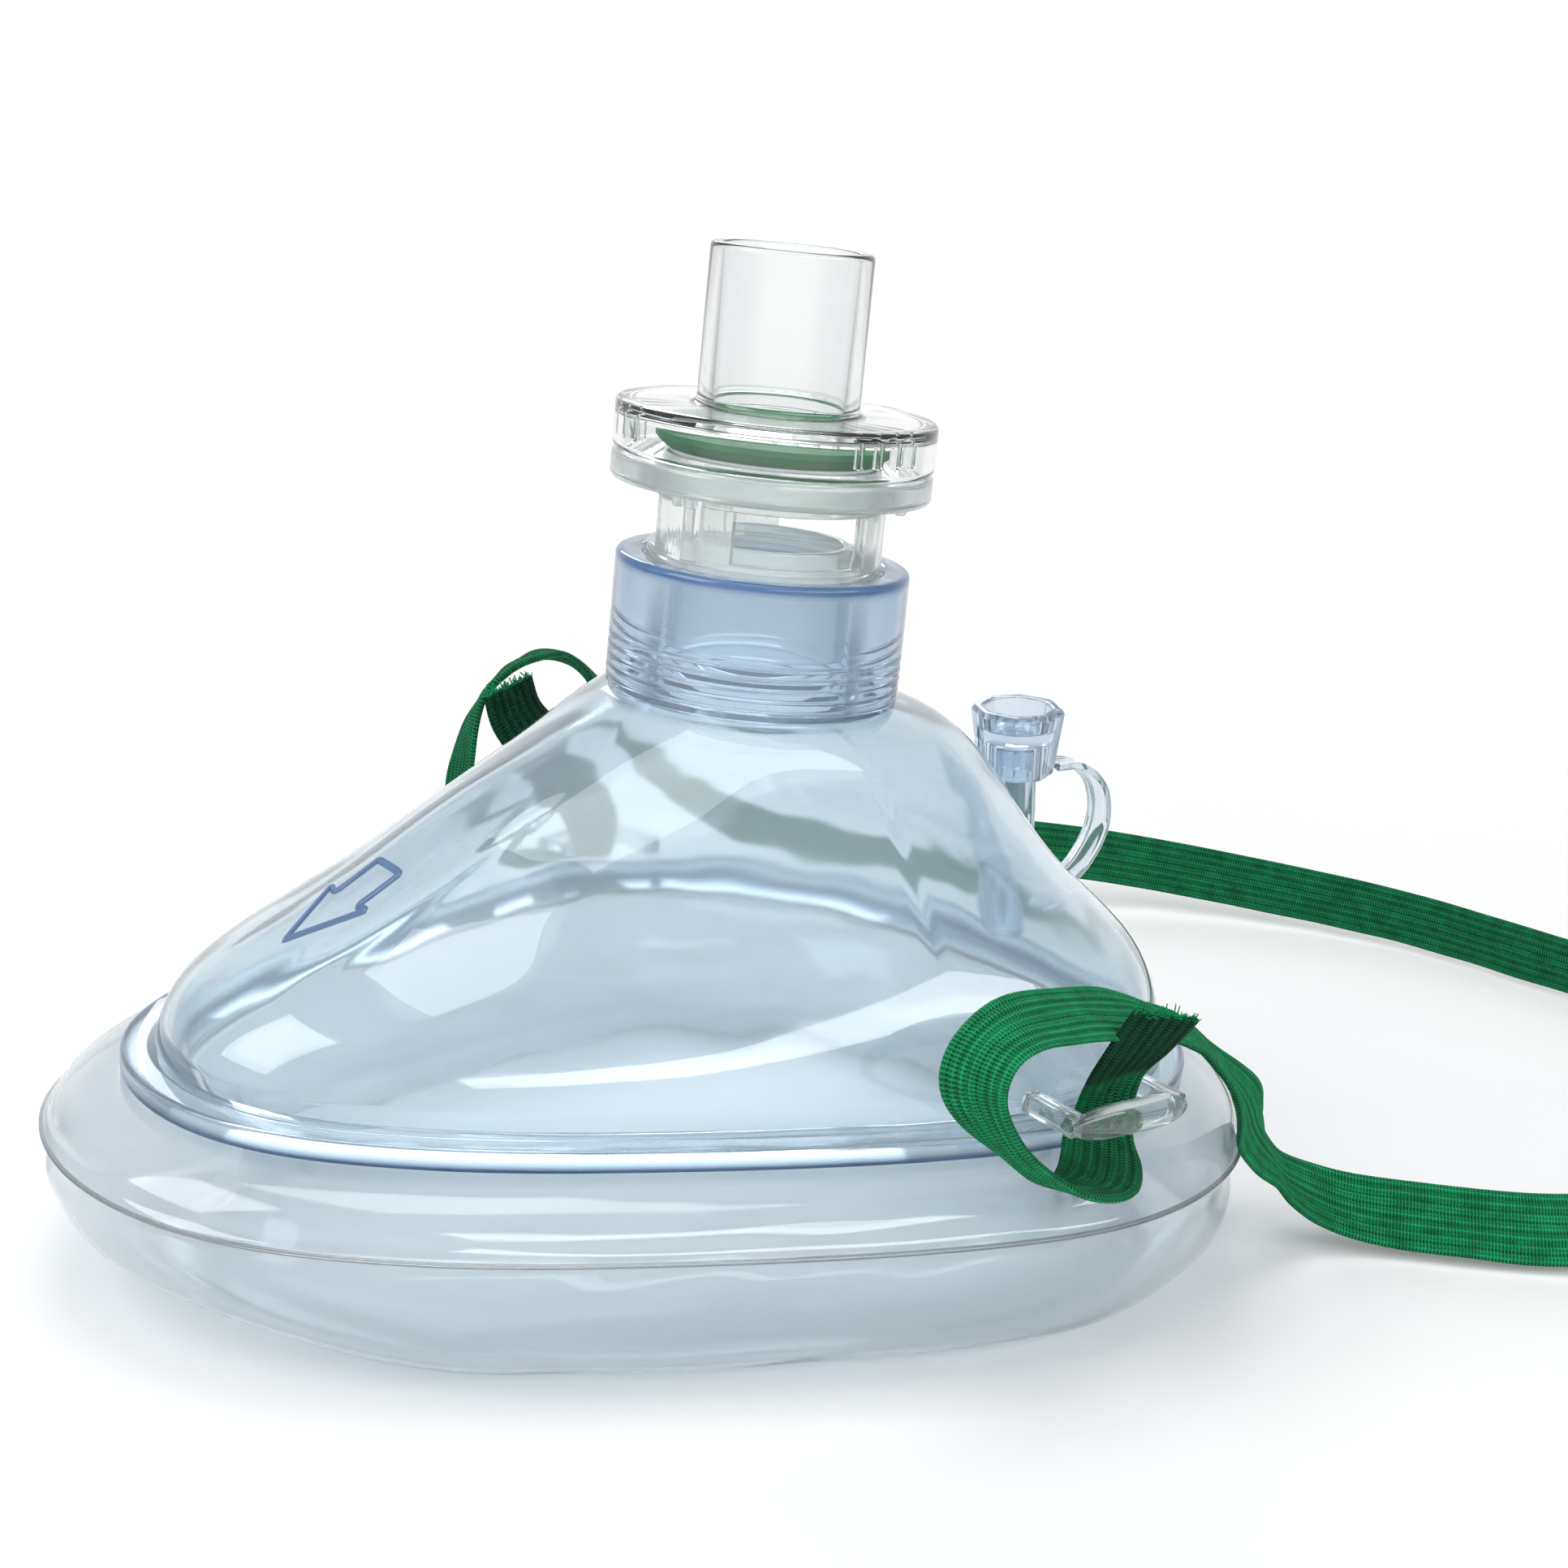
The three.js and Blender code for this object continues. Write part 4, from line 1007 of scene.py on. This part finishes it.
def make_arrow(shell):
    """Raised outline of an arrow, laid along the skin of the nose."""
    skin = BVHTree.FromObject(shell, bpy.context.evaluated_depsgraph_get())
    corners = np.array(ARROW_CORNERS)
    line = evenly(rounded(np.vstack([corners, corners[:1]]), 0.35), 161)[:-1]
    travel = unit(np.roll(line, -1, axis=0) - np.roll(line, 1, axis=0))
    normal = np.stack([travel[:, 1], -travel[:, 0]], axis=1)
    columns = []
    for offset in (-ARROW_LINE, -ARROW_LINE * 0.6, ARROW_LINE * 0.6, ARROW_LINE):
        flat = line + normal * offset
        flat = np.stack([ARROW_TIP_X + flat[:, 0] * math.cos(ARROW_SLOPE), flat[:, 1]], axis=1)
        heights = []
        for x, y in flat:
            over = Vector(to_frame((x, y, DOME_TOP + 20)))
            hit = skin.ray_cast(over, Vector((0, 0, -1)))[0]
            heights.append(hit.z / MM)
        columns.append(at_height(flat, np.array(heights)))
    raised = (0.4 * ARROW_RAISE, ARROW_RAISE, ARROW_RAISE, 0.4 * ARROW_RAISE)
    section = [column + (0, 0, up) for column, up in zip(columns, raised)]
    section += [columns[3] - (0, 0, ARROW_SINK), columns[0] - (0, 0, ARROW_SINK)]
    rings = np.stack(section, axis=1)
    return facing_out(new_object("nose_arrow_outline", *loft(rings), MARK))


put(make_arrow(bpy.data.objects["mask_shell"]), ["nose_arrow"])


# ---------------------------------------------------------------- floor, light
FLOOR_R, FLOOR_Z = 800.0, -0.3  # millimetres
FLOOR_FADE = (0.14, 0.40)       # metres: over this the floor runs out into the white surround


def make_floor():
    n = Nodes("pale_floor")
    pale = n.ramp(n.noise(14.0, 3.0), (0.82, 0.82, 0.82), (0.86, 0.86, 0.86))
    surface = n.add("BsdfPrincipled", in_Roughness=0.65, in_Base_Color=pale)
    distance = n.add("VectorMath", operation="LENGTH")
    n.feed(distance.inputs[0], n.add("TexCoord").outputs["Object"])
    fade = n.spread(distance.outputs["Value"], 0.0, 1.0, *FLOOR_FADE)
    through = n.add("BsdfTransparent")
    material = n.finish(n.mixed(fade, surface.outputs["BSDF"], through.outputs["BSDF"]))
    steps = 96
    angles = np.linspace(0, 2 * math.pi, steps, endpoint=False)
    ring = [(FLOOR_R * math.cos(a), FLOOR_R * math.sin(a), FLOOR_Z) for a in angles]
    new_object("floor", ring, [tuple(range(steps))], material)


SIDEWAYS = (0.79, -0.61, 0.0)   # the surround is greyer out to both sides, to draw the edges of clear parts
WHITE, OVERHEAD_GREY, SIDE_GREY = (1.0, 1.0, 1.0), (0.30, 0.31, 0.32), (0.34, 0.36, 0.38)
OVERHEAD_SPAN, SIDE_SPAN = (0.22, 0.62), (0.62, 0.86)  # where each grey starts and is full
SURROUND_STRENGTH = 1.05


def make_world():
    """White surround, grey overhead and out to the sides, so that clear plastic has something to mirror."""
    n = Nodes("studio", world=True)
    direction = n.add("TexCoord").outputs["Generated"]
    height = n.add("SeparateXYZ", in_Vector=direction).outputs["Z"]
    side = n.add("VectorMath", operation="DOT_PRODUCT")
    n.feed(side.inputs[0], direction)
    n.feed(side.inputs[1], SIDEWAYS)
    either = n.math("ABSOLUTE", side.outputs["Value"])
    grey = n.add("MixRGB", blend_type="MULTIPLY", in_Fac=1.0,
                 in_Color1=n.ramp(height, WHITE, OVERHEAD_GREY, *OVERHEAD_SPAN),
                 in_Color2=n.ramp(either, WHITE, SIDE_GREY, *SIDE_SPAN))
    light = n.add("Background", in_Strength=SURROUND_STRENGTH, in_Color=grey.outputs["Color"])
    bpy.context.scene.world = n.finish(light.outputs["Background"])


# Each lamp's name, place and size in metres, and radiance.
SOFTBOXES = [
    ("window_left", (-0.72, 0.12, 0.60), (0.55, 0.72), 4.3),
    ("window_front", (0.12, -0.80, 0.58), (1.30, 0.20), 5.5),
    ("window_back", (0.46, 0.80, 0.55), (0.45, 0.45), 3.0),
    ("overhead", (0.0, 0.05, 1.1), (0.60, 0.60), 3.1),
]
LAMP_TARGET = Vector((0.0, 0.0, 0.05))


def softbox(name, place, size, radiance):
    """An area light that looks at the middle of the mask."""
    data = bpy.data.lights.new(name, "AREA")
    data.shape = "RECTANGLE"
    data.size, data.size_y = size
    data.energy = radiance * math.pi * size[0] * size[1]
    lamp = bpy.data.objects.new(name, data)
    lamp.location = place
    lamp.rotation_mode = "QUATERNION"
    lamp.rotation_quaternion = (LAMP_TARGET - Vector(place)).to_track_quat("-Z", "Y")
    bpy.context.collection.objects.link(lamp)


make_floor()
make_world()
for lamp in SOFTBOXES:
    softbox(*lamp)

CLEAR_BOUNCES = 24              # enough to see through every clear wall
scene = bpy.context.scene
scene.view_settings.view_transform = "Standard"
scene.view_settings.look = "None"
scene.cycles.transparent_max_bounces = CLEAR_BOUNCES
scene.cycles.transmission_bounces = CLEAR_BOUNCES
scene.cycles.max_bounces = CLEAR_BOUNCES + 4
